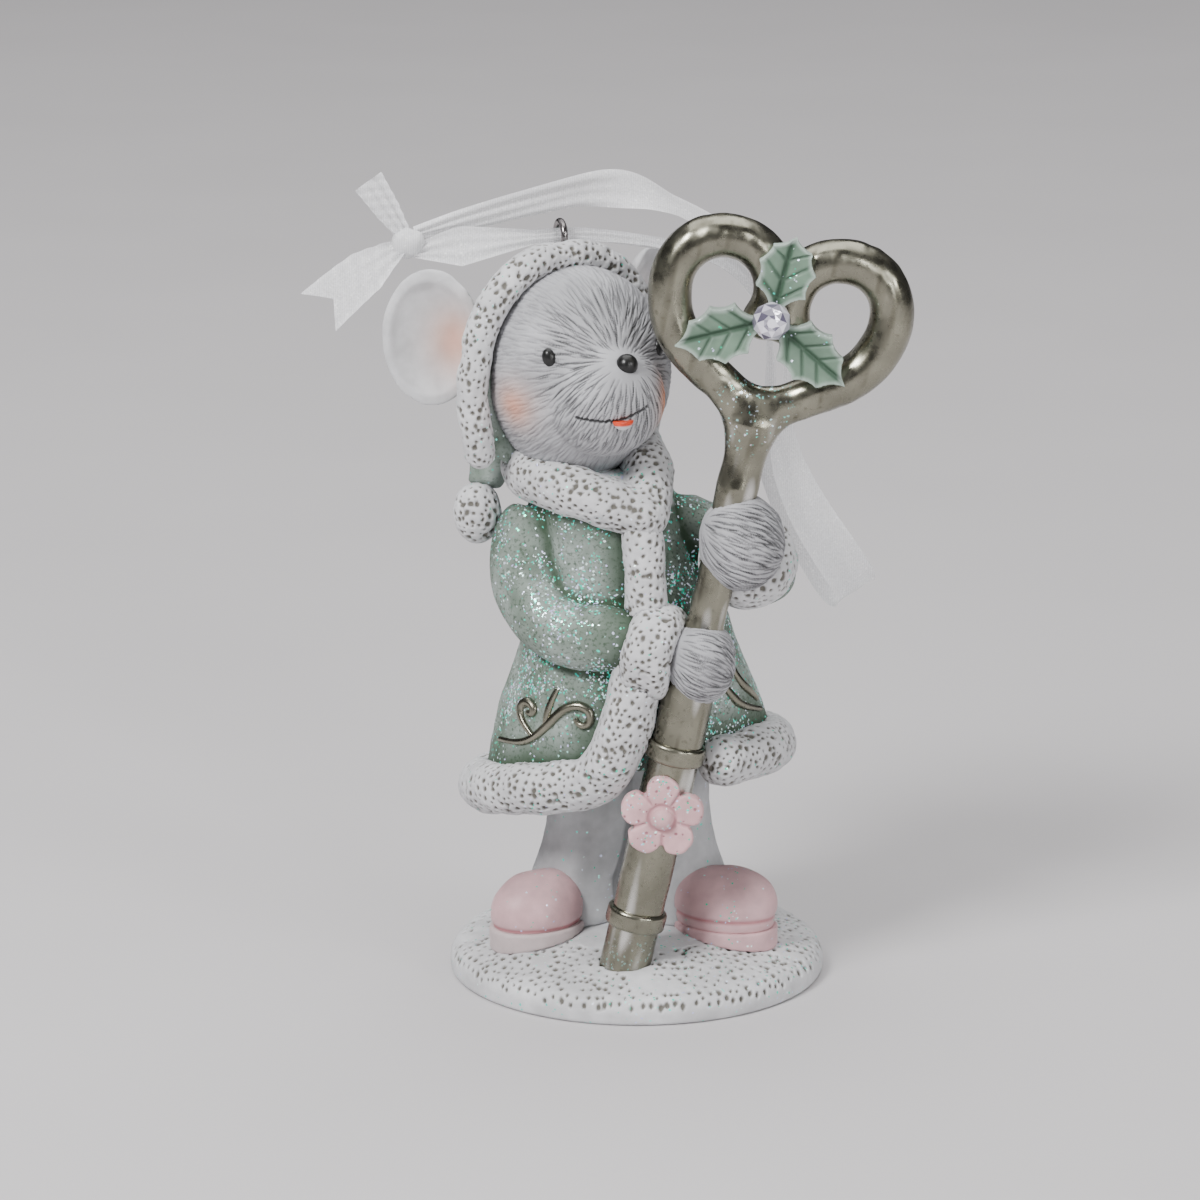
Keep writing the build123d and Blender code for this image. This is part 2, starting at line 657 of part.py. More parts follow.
# Screw eye in the hood's crown
crown = sqrt(1 - (EYE_SIDE / HOOD_RADII[0]) ** 2 - (EYE_BACK / HOOD_RADII[1]) ** 2)
EYE_SEAT = HOOD.from_local_coords((EYE_SIDE, EYE_BACK, HOOD_RADII[2] * crown))
EYE_CENTRE = EYE_SEAT + (0, 0, EYE_LIFT + EYE_RING)
EYE_AXIS = Vector(cos(radians(EYE_TURN)), sin(radians(EYE_TURN)), 0)
with BuildPart() as screw_eye:
    with Locations(Plane(origin=EYE_CENTRE, z_dir=EYE_AXIS)):
        Torus(EYE_RING, EYE_WIRE)
    with Locations(EYE_SEAT + (0, 0, EYE_LIFT)):
        Cylinder(EYE_WIRE, EYE_DEPTH, align=(Align.CENTER, Align.CENTER, Align.MAX))
for piece in (hood, head):
    with piece:
        with Locations(EYE_SEAT + (0, 0, EYE_LIFT)):
            depth = (Align.CENTER, Align.CENTER, Align.MAX)
            Cylinder(EYE_WIRE, EYE_DEPTH, align=depth, mode=Mode.SUBTRACT)

# Ribbon hanger: through the eye, over the hood, down behind the key and back to its knot
KNOT = Vector(-28.6, 2.8, 93.8)
through = EYE_AXIS * 3.5
RIBBON_LOOP = [
    KNOT + (0.8, 0.5, 1.0),
    Vector(-15.0, 3.8, 98.4),
    Vector(-2.4, 5.0, 101.2),
    Vector(7.2, 7.0, 96.9),
    Vector(13.9, 9.0, 92.0),
    Vector(18.4, 10.0, 84.4),
    Vector(19.2, 10.4, 75.0),
    Vector(18.2, 10.5, 66.4),
    Vector(21.2, 10.8, 58.6),
    Vector(25.6, 11.6, 51.6),
    Vector(29.0, 13.4, 46.2),
    Vector(27.0, 16.2, 45.2),
    Vector(23.6, 16.4, 50.4),
    Vector(19.8, 15.4, 57.4),
    Vector(16.6, 14.6, 65.6),
    Vector(17.2, 14.2, 75.0),
    Vector(16.6, 13.4, 83.4),
    Vector(11.8, 11.0, 90.0),
    Vector(2.6, 6.8, 93.0),
    EYE_CENTRE + through,
    EYE_CENTRE - through,
    KNOT + (0.8, -0.4, -1.0),
]

TAIL_UP = [KNOT + (-0.4, 0.0, 0.6), Vector(-31.2, 2.6, 98.0), Vector(-33.6, 2.8, 101.6)]
TAIL_DOWN = [KNOT + (-0.6, -0.2, -0.2), Vector(-33.4, 0.6, 91.4), Vector(-39.0, -1.6, 86.6)]
with BuildPart() as ribbon_knot:
    with Locations(KNOT):
        add(blob(KNOT_RADII))
    add(ears["right_ear"].part, mode=Mode.SUBTRACT)
ribbons = {}
for name, points in (
    ("ribbon_loop", RIBBON_LOOP),
    ("ribbon_tail_up", TAIL_UP),
    ("ribbon_tail_down", TAIL_DOWN),
):
    with BuildPart() as ribbon:
        with BuildLine() as route:
            FilletPolyline(*points, radius=bends(points))
        with BuildSketch(Plane(origin=route.line @ 0, z_dir=route.line % 0)):
            Circle(RIBBON_RADIUS)
        sweep()
        length = sum(edge.length for edge in route.edges())
        share = ribbon.part.volume / (pi * RIBBON_RADIUS**2 * length)
        print(name, round(length, 1), round(share, 3), [round(radius, 1) for radius in bends(points)])
        add(ribbon_knot.part, mode=Mode.SUBTRACT)
    ribbons[name] = ribbon

for name, piece in (
    ("snow_base", snow_base),
    ("key_shank", key_shank),
    ("key_bow", key_bow),
    ("rhinestone", rhinestone),
    ("flower", flower),
    ("flower_centre", flower_centre),
    ("coat", coat),
    ("trousers", trousers),
    ("hem_trim", hem_trim),
    ("chest_trim", chest_trim),
    ("screw_eye", screw_eye),
    ("ribbon_knot", ribbon_knot),
    *ribbons.items(),
    ("head", head),
    ("nose", nose),
    ("tongue", tongue),
    ("hood", hood),
    ("hood_trim", hood_trim),
    ("hood_tail", hood_tail),
    ("collar", collar),
    ("pompom", pompom),
    *eyes.items(),
    *ears.items(),
    *sleeves.items(),
    *cuffs.items(),
    *paws.items(),
    *rings.items(),
    *leaves.items(),
    *boots.items(),
    *soles.items(),
):
    piece.part.label = name
    print(name, len(piece.part.solids()), round(piece.part.volume, 2), piece.part.is_valid)
    export_step(piece.part, f"parts/{name}.step")
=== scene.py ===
"""Looks of the mouse ornament: painted resin, pitted fur, silvered key and organza hanger.

Meshes are worked on in millimetres, in the CAD frame, and scaled to metres when a piece is handed over.
"""

import json
import math

import bmesh
import bpy
import numpy as np
from mathutils import Matrix, Vector, kdtree
from mathutils.bvhtree import BVHTree


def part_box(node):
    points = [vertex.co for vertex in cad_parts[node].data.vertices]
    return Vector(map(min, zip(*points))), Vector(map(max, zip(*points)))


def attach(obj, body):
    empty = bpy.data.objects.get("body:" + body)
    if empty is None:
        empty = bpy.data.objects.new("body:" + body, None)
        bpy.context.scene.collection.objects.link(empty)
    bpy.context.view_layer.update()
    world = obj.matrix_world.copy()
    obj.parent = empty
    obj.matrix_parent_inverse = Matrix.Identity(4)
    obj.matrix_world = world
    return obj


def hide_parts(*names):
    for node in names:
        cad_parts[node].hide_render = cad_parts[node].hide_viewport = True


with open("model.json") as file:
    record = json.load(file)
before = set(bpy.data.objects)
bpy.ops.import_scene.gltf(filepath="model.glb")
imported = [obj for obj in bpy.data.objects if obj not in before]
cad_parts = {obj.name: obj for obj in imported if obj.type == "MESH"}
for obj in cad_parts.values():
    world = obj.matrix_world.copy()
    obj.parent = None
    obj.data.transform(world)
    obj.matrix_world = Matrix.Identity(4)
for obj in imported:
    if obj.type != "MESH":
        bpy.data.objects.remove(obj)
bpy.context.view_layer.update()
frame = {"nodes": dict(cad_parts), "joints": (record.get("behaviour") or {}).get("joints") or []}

MM = 0.001
FIGURE = "figurine"
HANGER = "hanger"
COARSE = 1.0

# Camera at the photograph's angle: place in metres, pitch in degrees, lens and sensor in mm
CAMERA_PLACE = (-0.00475, -0.5795555, 0.2037914)
CAMERA_PITCH = 75.0
CAMERA_LENS = 142.2
CAMERA_SENSOR = 36.0
CAMERA_CLIP = 0.01

# Voxel sizes, mm
FUR_VOXEL = 0.2
FACE_VOXEL = 0.13
CLOTH_VOXEL = 0.3
METAL_VOXEL = 0.22
LEAF_VOXEL = 0.14
BASE_VOXEL = 0.25
BEAD_VOXEL = 0.1

# Smoothing: the share of the way to the neighbours' middle, and the push back out that keeps the volume
PULL = 0.5
PUSH = -0.53

# Noise: an offset that keeps coordinates above zero, and large odd factors that scatter the corners
NOISE_SHIFT = 500.0
CORNER_FACTORS = np.array([73856093, 19349663, 83492791])
SEED_FACTOR = 7919
MIX_FACTOR = 1274126177

# Tool marks, mm: most pits are small, and hair strokes sway and vary in force
PIT_BIAS = 1.6
PIT_GAPS = (0.75, 1.4)
PIT_WOBBLE_SIZE = 0.42
HAIR_STEP = 0.22
HAIR_SWAY = 0.18
HAIR_FORCE = (0.55, 1.0)
SCORE_STEP = 0.1

# Paint, linear RGB; flakes and weave in mm
WHITE = (0.64, 0.64, 0.655)
PIT_BROWN = (0.13, 0.122, 0.105)
COAT_GREEN = (0.17, 0.222, 0.178)
COAT_PALE = (0.33, 0.38, 0.352)
COAT_WASH_AND_SHADE = (0.04, 0.07, 0.04)
MOUSE_GREY = (0.43, 0.43, 0.45)
MOUSE_WASH_AND_SHADE = (0.05, 0.05, 0.052)
BLUSH = (0.80, 0.30, 0.14)
BOOT_PINK = (0.66, 0.42, 0.44)
BOOT_WASH = (0.40, 0.13, 0.15)
SOLE_PINK = (0.62, 0.52, 0.52)
TROUSER_GREY = (0.48, 0.485, 0.50)
KEY_SILVER = (0.29, 0.28, 0.22)
KEY_WASH_AND_SHADE = (0.07, 0.062, 0.04)
KEY_PAINTED_HIGHLIGHT = (0.78, 0.77, 0.74)
LEAF_GREEN = (0.155, 0.24, 0.175)
LEAF_EDGE = (0.48, 0.56, 0.51)
LEAF_VEIN_AND_SHADE = (0.035, 0.075, 0.045)
FLOWER_PINK = (0.72, 0.44, 0.46)
FLOWER_WASH = (0.36, 0.15, 0.18)
TONGUE_RED = (0.55, 0.045, 0.012)
BLACK = (0.006, 0.006, 0.006)
STEEL = (0.30, 0.28, 0.28)
STONE_DARK_REFLECTION = (0.16, 0.145, 0.21)
STONE_BRIGHT_REFLECTION = (0.90, 0.88, 0.98)
RIBBON_WHITE = (0.86, 0.86, 0.88)
FLOOR_PALE = (0.58, 0.56, 0.57)
FLAKE_HUES = (
    (0.0, (0.02, 0.60, 0.32)),
    (0.35, (0.05, 0.75, 0.62)),
    (0.6, (0.80, 0.95, 0.90)),
    (1.0, (0.62, 0.60, 0.95)),
)
FLAKE_SIZE = 0.22
KEY_FLAKE_SIZE = 0.24
WEAVE_SIZE = 0.9
KEY_FLAKE_HUES = ((0.1, 0.9, 0.7), (0.9, 0.85, 1.0))


def centre(node):
    """The middle of a CAD node's box, in mm."""
    low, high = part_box(node)
    return (np.array(low) + np.array(high)) / 2 / MM


def linked(name, data):
    """A new object in the scene."""
    obj = bpy.data.objects.new(name, data)
    bpy.context.scene.collection.objects.link(obj)
    return obj


def coords(obj):
    """A mesh's vertices as an array."""
    out = np.empty(len(obj.data.vertices) * 3)
    obj.data.vertices.foreach_get("co", out)
    return out.reshape(-1, 3)


def normals(obj):
    """A mesh's vertex normals as an array."""
    out = np.empty(len(obj.data.vertices) * 3)
    obj.data.vertices.foreach_get("normal", out)
    return out.reshape(-1, 3)


def place(obj, co):
    """Moves a mesh's vertices to an array of points."""
    obj.data.vertices.foreach_set("co", co.ravel())
    obj.data.update()


def paint(obj, name, values):
    """Stores a number for each vertex, for the materials to read."""
    layer = obj.data.attributes.get(name) or obj.data.attributes.new(name, "FLOAT", "POINT")
    layer.data.foreach_set("value", np.asarray(values, np.float32))


def painted_values(obj, name):
    """The numbers painted on a mesh before, or zeros."""
    out = np.zeros(len(obj.data.vertices), np.float32)
    layer = obj.data.attributes.get(name)
    if layer:
        layer.data.foreach_get("value", out)
    return out


def joined(nodes):
    """Some CAD nodes in one mesh, in mm."""
    out = bmesh.new()
    for node in nodes:
        out.from_mesh(frame["nodes"][node].data)
    bmesh.ops.scale(out, vec=(1 / MM,) * 3, verts=out.verts)
    return out


def voxel_copy(name, nodes, voxel, lumps=()):
    """One closed mesh, in mm, of some CAD nodes and extra (centre, radii) lumps, joined by a voxel remesh."""
    source = joined(nodes)
    for spot, radii in lumps:
        shape = Matrix.LocRotScale(Vector(spot), None, Vector(radii))
        bmesh.ops.create_icosphere(source, subdivisions=4, radius=1.0, matrix=shape)
    mesh = bpy.data.meshes.new(name)
    source.to_mesh(mesh)
    source.free()
    obj = linked(name, mesh)
    remesh = obj.modifiers.new("remesh", "REMESH")
    remesh.mode = "VOXEL"
    remesh.voxel_size = voxel * COARSE
    graph = bpy.context.evaluated_depsgraph_get()
    obj.data = bpy.data.meshes.new_from_object(obj.evaluated_get(graph))
    obj.data.name = name
    obj.modifiers.clear()
    return obj


def relax(obj, rounds, shrink=False, share=1.0):
    """Evens out voxel steps; with shrink, also melts creases together, where a share says so."""
    ends = np.empty(len(obj.data.edges) * 2, np.int64)
    obj.data.edges.foreach_get("vertices", ends)
    start, end = ends.reshape(-1, 2).T
    co = coords(obj)
    size = len(co)
    share = np.broadcast_to(share, size)[:, None]
    count = (np.bincount(start, minlength=size) + np.bincount(end, minlength=size))[:, None]
    for _ in range(rounds):
        for step in (PULL,) if shrink else (PULL, PUSH):
            axes = [np.bincount(start, x[end], size) + np.bincount(end, x[start], size) for x in co.T]
            co += step * share * (np.stack(axes, axis=1) / count - co)
    place(obj, co)


def noise(co, size, seed):
    """Smooth lumps of about the given size, from -1 to 1."""
    spot = co / size + NOISE_SHIFT
    cell = np.floor(spot).astype(np.int64)
    part = spot - cell
    part = part * part * (3 - 2 * part)
    out = np.zeros(len(co))
    for corner in range(8):
        bits = np.array([corner & 1, corner >> 1 & 1, corner >> 2 & 1])
        mixed = (cell + bits) @ CORNER_FACTORS + seed * SEED_FACTOR
        mixed = ((mixed ^ (mixed >> 13)) * MIX_FACTOR) & 0x7FFFFFFF
        value = ((mixed ^ (mixed >> 11)) % 65536) / 32768 - 1
        out += value * np.prod(np.where(bits, part, 1 - part), axis=1)
    return out


def uneven(co, layers, seed=0):
    """Layers of lumps, as rows of (height, size, seed), laid over each other."""
    return sum(height * noise(co, size, own + seed) for height, size, own in layers)


def swell(obj, amount):
    """Moves each vertex along its normal."""
    place(obj, coords(obj) + normals(obj) * np.broadcast_to(amount, len(obj.data.vertices))[:, None])


def surface_of(obj):
    """A mesh's surface, for rays and nearest points."""
    return BVHTree.FromPolygons(coords(obj).tolist(), [tuple(p.vertices) for p in obj.data.polygons])


def distance(co, spot):
    """How far each point lies from a spot."""
    return np.linalg.norm(co - spot, axis=1)


def bell(away, reach):
    """1 at no distance, fading smoothly to 0."""
    return np.exp(-((away / reach) ** 2))


def closeness(obj, nodes, reach):
    """How near each vertex lies to some CAD nodes: 1 where they touch, fading to 0."""
    others = joined(nodes)
    surface = BVHTree.FromBMesh(others)
    others.free()
    away = np.array([surface.find_nearest(spot)[3] for spot in coords(obj).tolist()])
    return np.clip(1 - away / reach, 0, 1)


def seams(obj, first, second, reach):
    """Where the surfaces of two sets of CAD nodes meet: 1 on the line, fading to 0."""
    return closeness(obj, first, reach) * closeness(obj, second, reach)


def spread(co):
    """A search tree over points."""
    tree = kdtree.KDTree(len(co))
    for i, spot in enumerate(co):
        tree.insert(spot, i)
    tree.balance()
    return tree


def pit(obj, gap, radius, depth, seed, allowed=None, squeeze=(1, 1, 1), wobble=0.55):
    """Presses pits into a surface, none closer than a gap, and paints where they are."""
    co = coords(obj) * squeeze
    tree = spread(co)
    rng = np.random.default_rng(seed)
    covered = np.zeros(len(co), bool) if allowed is None else ~allowed
    hollow = np.zeros(len(co))
    ragged = 1 + wobble * noise(co, PIT_WOBBLE_SIZE, seed)
    for i in rng.permutation(len(co)):
        if covered[i]:
            continue
        size = radius[0] + (radius[1] - radius[0]) * rng.random() ** PIT_BIAS
        for _, j, away in tree.find_range(co[i], gap * rng.uniform(*PIT_GAPS)):
            covered[j] = True
            if away * ragged[j] < size:
                hollow[j] = max(hollow[j], 1 - (away * ragged[j] / size) ** 2)
    swell(obj, -depth * hollow)
    paint(obj, "wash_and_shade", hollow)


def tooling(obj, flow, gap, length, width, depth, seed, allowed):
    """Cuts short hair grooves that follow a flow over the surface, and paints them."""
    co = coords(obj)
    nor = normals(obj)
    tree = spread(co)
    surface = surface_of(obj)
    rng = np.random.default_rng(seed)
    covered = ~allowed
    groove = np.zeros(len(co))
    for i in rng.permutation(len(co)):
        if covered[i]:
            continue
        for _, j, away in tree.find_range(co[i], gap):
            covered[j] = True
        spot = Vector(co[i])
        out = Vector(nor[i])
        sway = rng.uniform(-HAIR_SWAY, HAIR_SWAY)
        force = rng.uniform(*HAIR_FORCE)
        steps = int(rng.uniform(*length) / HAIR_STEP)
        for k in range(steps):
            way = Vector(flow(spot))
            way = (way - out * way.dot(out)).normalized()
            way = (way + out.cross(way) * sway).normalized()
            spot, out, _, _ = surface.find_nearest(spot + way * HAIR_STEP)
            taper = force * (1 - (2 * k / steps - 1) ** 2) ** 0.5
            for _, j, away in tree.find_range(spot, width):
                groove[j] = max(groove[j], taper * (1 - (away / width) ** 2))
    swell(obj, -depth * groove)
    paint(obj, "wash_and_shade", groove)


def score(obj, points, width, depth, force=1.0):
    """Cuts a line through points laid on the surface, and adds it to the wash and shade painted before."""
    co = coords(obj)
    tree = spread(co)
    surface = surface_of(obj)
    line = np.zeros(len(co))
    for start, end in zip(points, points[1:]):
        steps = max(2, int(np.linalg.norm(np.subtract(end, start)) / SCORE_STEP))
        for k in range(steps + 1):
            spot = surface.find_nearest(Vector(start).lerp(Vector(end), k / steps))[0]
            for _, j, away in tree.find_range(spot, width):
                line[j] = max(line[j], force * (1 - (away / width) ** 2))
    swell(obj, -depth * line)
    paint(obj, "wash_and_shade", np.maximum(painted_values(obj, "wash_and_shade"), line))


def shade_hollows(obj, reach, rounds):
    """Paints shade where the surface is hollow: painted shade, darker the deeper the hollow."""
    before = coords(obj)
    out = normals(obj)
    relax(obj, rounds, shrink=True)
    sunk = ((coords(obj) - before) * out).sum(axis=1)
    place(obj, before)
    paint(obj, "wash_and_shade", np.clip(sunk / reach, 0, 1))


def add_painted_shade(obj, amount):
    """Adds painted shade to the wash and shade painted before."""
    paint(obj, "wash_and_shade", np.clip(painted_values(obj, "wash_and_shade") + amount, 0, 1))


def nurbs(name, points, resolution, bevel=0.0, radii=None):
    """The mesh of a smooth curve, with a round section where a bevel is given."""
    curve = bpy.data.curves.new(name, "CURVE")
    curve.dimensions = "3D"
    curve.resolution_u = resolution
    curve.bevel_depth = bevel
    curve.bevel_resolution = 3
    curve.use_fill_caps = True
    line = curve.splines.new("NURBS")
    line.points.add(len(points) - 1)
    for i, (point, spot) in enumerate(zip(line.points, points)):
        point.co = (*spot, 1)
        if radii:
            point.radius = radii[i]
    line.order_u = 3
    line.use_endpoint_u = True
    drawn = linked(name, curve)
    graph = bpy.context.evaluated_depsgraph_get()
    mesh = bpy.data.meshes.new_from_object(drawn.evaluated_get(graph))
    bpy.data.objects.remove(drawn)
    return mesh


def hand_over(obj, body, material, nodes=()):
    """Scales a piece to metres and ties it to its body, hiding the nodes that it stands for."""
    obj.data.transform(Matrix.Scale(MM, 4))
    obj.data.materials.clear()
    obj.data.materials.append(material)
    obj.data.shade_smooth()
    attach(obj, body)
    if nodes:
        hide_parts(*nodes)


class Shader:
    """A material whose Principled shader is fed by a few procedural layers."""

    def __init__(self, name, sockets):
        self.material = bpy.data.materials.new(name)
        self.material.use_nodes = True
        self.tree = self.material.node_tree
        self.surface = self.tree.nodes["Principled BSDF"]
        for socket, value in sockets.items():
            self.set(socket, value)
        self.where = self.tree.nodes.new("ShaderNodeTexCoord").outputs["Object"]

    def set(self, socket, value):
        """Gives a socket of the surface a constant or a layer."""
        self.feed(self.surface.inputs[socket], value)

    def node(self, kind, **inputs):
        """A new node with its named inputs filled."""
        made = self.tree.nodes.new("ShaderNode" + kind)
        for name, value in inputs.items():
            self.feed(made.inputs[name], value)
        return made

    def feed(self, socket, value):
        """Links a layer to a socket, or sets a constant."""
        if isinstance(value, bpy.types.NodeSocket):
            self.tree.links.new(value, socket)
        else:
            socket.default_value = value

    def mix(self, share, first, second):
        """From one colour or layer to another, by a share."""
        made = self.tree.nodes.new("ShaderNodeMix")
        made.data_type = "RGBA"
        self.feed(made.inputs[0], share)
        for socket, value in ((made.inputs[6], first), (made.inputs[7], second)):
            self.feed(socket, value if isinstance(value, bpy.types.NodeSocket) else (*value, 1))
        return made.outputs[2]

    def ramp(self, value, low, high, start=0.0, end=1.0):
        """From start to end, while a value goes from low to high."""
        made = self.node("MapRange", Value=value)
        made.clamp = True
        for name, number in (("From Min", low), ("From Max", high), ("To Min", start), ("To Max", end)):
            made.inputs[name].default_value = number
        return made.outputs["Result"]

    def maths(self, operation, first, second):
        """One step of arithmetic."""
        made = self.tree.nodes.new("ShaderNodeMath")
        made.operation = operation
        self.feed(made.inputs[0], first)
        self.feed(made.inputs[1], second)
        return made.outputs[0]

    def lumps(self, size, detail=2.0):
        """Noise of about the given size, in mm."""
        made = self.node("TexNoise", Vector=self.where, Scale=1 / (size * MM), Detail=detail)
        return made.outputs["Fac"]

    def painted(self, name):
        """The numbers painted on the vertices or faces."""
        made = self.tree.nodes.new("ShaderNodeAttribute")
        made.attribute_name = name
        return made.outputs["Fac"]

    def cells(self, size):
        """Two random numbers for each small cell, of about the given size in mm."""
        made = self.node("TexVoronoi", Vector=self.where, Scale=1 / (size * MM))
        parts = self.node("SeparateColor", Color=made.outputs["Color"])
        return parts.outputs[0], parts.outputs[1]

    def bump(self, height, depth, strength):
        """Fine relief, its depth in mm."""
        made = self.node("Bump", Height=height, Strength=strength, Distance=depth * MM)
        self.set("Normal", made.outputs["Normal"])

    def colour(self, value):
        """The surface's own colour."""
        self.set("Base Color", value)

    def painted_glint(self, flake, spark, strength):
        """Makes flakes glow a little: a painted glint, as light of their own."""
        self.set("Emission Color", spark)
        self.set("Emission Strength", self.maths("MULTIPLY", flake, strength))


def shaded(colour, factor):
    """A colour made darker or lighter."""
    return [c * factor for c in colour]


def glitter_over(look, tone, rough, amount):
    """Loose glitter in drifts: the tone and the roughness with flakes laid on, which glow with a painted
    glint.
    """
    pick, hue = look.cells(FLAKE_SIZE)
    drifts = look.ramp(look.lumps(7, detail=3), 0.47, 0.6, 1 - amount * 0.12, 1 - amount)
    flake = look.maths("GREATER_THAN", pick, drifts)
    spark = look.node("ValToRGB", Fac=hue)
    stops = spark.color_ramp.elements
    stops[0].color = (*FLAKE_HUES[0][1], 1)
    stops[1].color = (*FLAKE_HUES[-1][1], 1)
    for spot, colour in FLAKE_HUES[1:-1]:
        stops.new(spot).color = (*colour, 1)
    look.set("Metallic", look.maths("MULTIPLY", flake, 0.35))
    # Painted glint: the flakes glow a little
    look.painted_glint(flake, spark.outputs["Color"], 0.22)
    return look.mix(flake, tone, spark.outputs["Color"]), look.mix(flake, rough, (0.2, 0.2, 0.2))


def resin(
    name,
    colour,
    wash_and_shade,
    glitter=0.0,
    roughness=0.5,
    pale=None,
    blush=None,
    rim=None,
    wash_and_shade_at=(0.12, 0.7),
    freckle=0.0,
):
    """Painted resin: uneven paint, dark wash and painted shade in the hollows, and loose glitter flakes."""
    look = Shader(name, {"Roughness": roughness, "Specular IOR Level": 0.35})
    patches = look.ramp(look.lumps(6, detail=3), 0.36, 0.66)
    tone = look.mix(patches, shaded(colour, 0.84), pale or shaded(colour, 1.08))
    blotches = look.ramp(look.lumps(1.3, detail=4), 0.4, 0.75, 0.0, 0.4)
    tone = look.mix(blotches, tone, shaded(colour, 0.7))
    if freckle:
        freckles = look.ramp(look.lumps(0.4, detail=4), 0.52, 0.68, 0.0, freckle)
        tone = look.mix(freckles, tone, wash_and_shade)
    if blush:
        tone = look.mix(look.painted("blush"), tone, blush)
    # Dark wash in pits and grooves, and painted shade, where they are painted
    tone = look.mix(look.ramp(look.painted("wash_and_shade"), *wash_and_shade_at), tone, wash_and_shade)
    if rim:
        tone = look.mix(look.painted("rim"), tone, rim)
    rough = look.ramp(look.lumps(0.8), 0.3, 0.7, roughness - 0.08, roughness + 0.1)
    if glitter:
        tone, rough = glitter_over(look, tone, rough, glitter)
    look.colour(tone)
    look.set("Roughness", rough)
    look.bump(look.lumps(0.35, detail=4), depth=0.05, strength=0.5)
    return look.material


def silver(name):
    """Champagne silver paint: painted shade in the hollows, dark streaks of painted reflection, bright
    strokes of painted highlight and stray glitter with a painted glint.
    """
    look = Shader(name, {"Metallic": 1.0, "Roughness": 0.25})
    patches = look.ramp(look.lumps(5, detail=2), 0.35, 0.7)
    tone = look.mix(patches, KEY_SILVER, shaded(KEY_SILVER, 0.72))
    specks = look.ramp(look.lumps(0.8, detail=5), 0.6, 0.78, 0.0, 0.5)
    tone = look.mix(specks, tone, KEY_WASH_AND_SHADE)
    # Painted shade in the hollows, and dark streaks of painted reflection
    painted_shade = look.ramp(look.painted("wash_and_shade"), 0.2, 0.9, 0.0, 0.85)
    tone = look.mix(painted_shade, tone, KEY_WASH_AND_SHADE)
    # Painted highlights: bright strokes over the tone
    tone = look.mix(look.painted("painted_highlight"), tone, KEY_PAINTED_HIGHLIGHT)
    pick, hue = look.cells(KEY_FLAKE_SIZE)
    strewn = look.ramp(look.painted("rim"), 0.15, 0.5)
    flake = look.maths("MULTIPLY", look.ramp(pick, 0.94, 0.95), strewn)
    spark = look.mix(hue, *KEY_FLAKE_HUES)
    look.colour(look.mix(flake, tone, spark))
    # Painted glint: the flakes glow a little
    look.painted_glint(flake, spark, 0.2)
    look.set("Roughness", look.ramp(look.lumps(1.6, detail=4), 0.3, 0.75, 0.2, 0.38))
    look.bump(look.lumps(1.1, detail=3), depth=0.035, strength=0.45)
    return look.material


def gloss(name, colour, rim=None):
    """Gloss paint with faint brush marks."""
    look = Shader(name, {"Roughness": 0.3, "Specular IOR Level": 0.4})
    brush_marks_and_highlights = look.ramp(look.lumps(0.5, detail=3), 0.3, 0.7)
    tone = look.mix(brush_marks_and_highlights, colour, [min(1, c * 1.4 + 0.01) for c in colour])
    if rim:
        tone = look.mix(look.painted("rim"), tone, rim)
    look.colour(tone)
    look.bump(look.lumps(0.3, detail=2), depth=0.02, strength=0.3)
    return look.material


def wire(name):
    """Bright nickel-plated wire with drawing marks."""
    look = Shader(name, {"Metallic": 1.0, "Roughness": 0.25})
    marks = look.ramp(look.lumps(0.9, detail=3), 0.3, 0.7)
    look.colour(look.mix(marks, STEEL, shaded(STEEL, 0.75)))
    look.bump(look.lumps(0.3, detail=2), depth=0.006, strength=0.3)
    return look.material


def organza(name):
    """Sheer ribbon: a fine open weave, denser selvedges and sparkling threads."""
    look = Shader(name, {"Roughness": 0.45, "Sheen Weight": 0.4})
    weave = look.node("TexWave", Vector=look.where, Scale=1 / (WEAVE_SIZE * MM), Distortion=1.5)
    threads = look.ramp(weave.outputs["Fac"], 0.2, 0.9)
    tone = look.mix(threads, shaded(RIBBON_WHITE, 0.86), RIBBON_WHITE)
    pick, _ = look.cells(FLAKE_SIZE)
    look.colour(look.mix(look.ramp(pick, 0.94, 0.97), tone, (1.0, 1.0, 1.0)))
    sheer_part = look.ramp(look.lumps(0.25, detail=2), 0.3, 0.7, 0.62, 0.86)
    look.set("Alpha", look.mix(look.painted("rim"), sheer_part, (0.92, 0.92, 0.92)))
    look.bump(look.lumps(0.2, detail=2), depth=0.04, strength=0.6)
    return look.material


def crystal(name):
    """Cut stone, foiled behind: each facet has a painted reflection of its own, a random tone between dark
    and bright.
    """
    look = Shader(name, {"Roughness": 0.05, "Metallic": 0.3, "Specular IOR Level": 0.9})
    look.colour(look.mix(look.ramp(look.painted("tone"), 0.1, 0.9), STONE_DARK_REFLECTION, STONE_BRIGHT_REFLECTION))
    look.bump(look.lumps(0.5, detail=1), depth=0.02, strength=0.3)
    return look.material


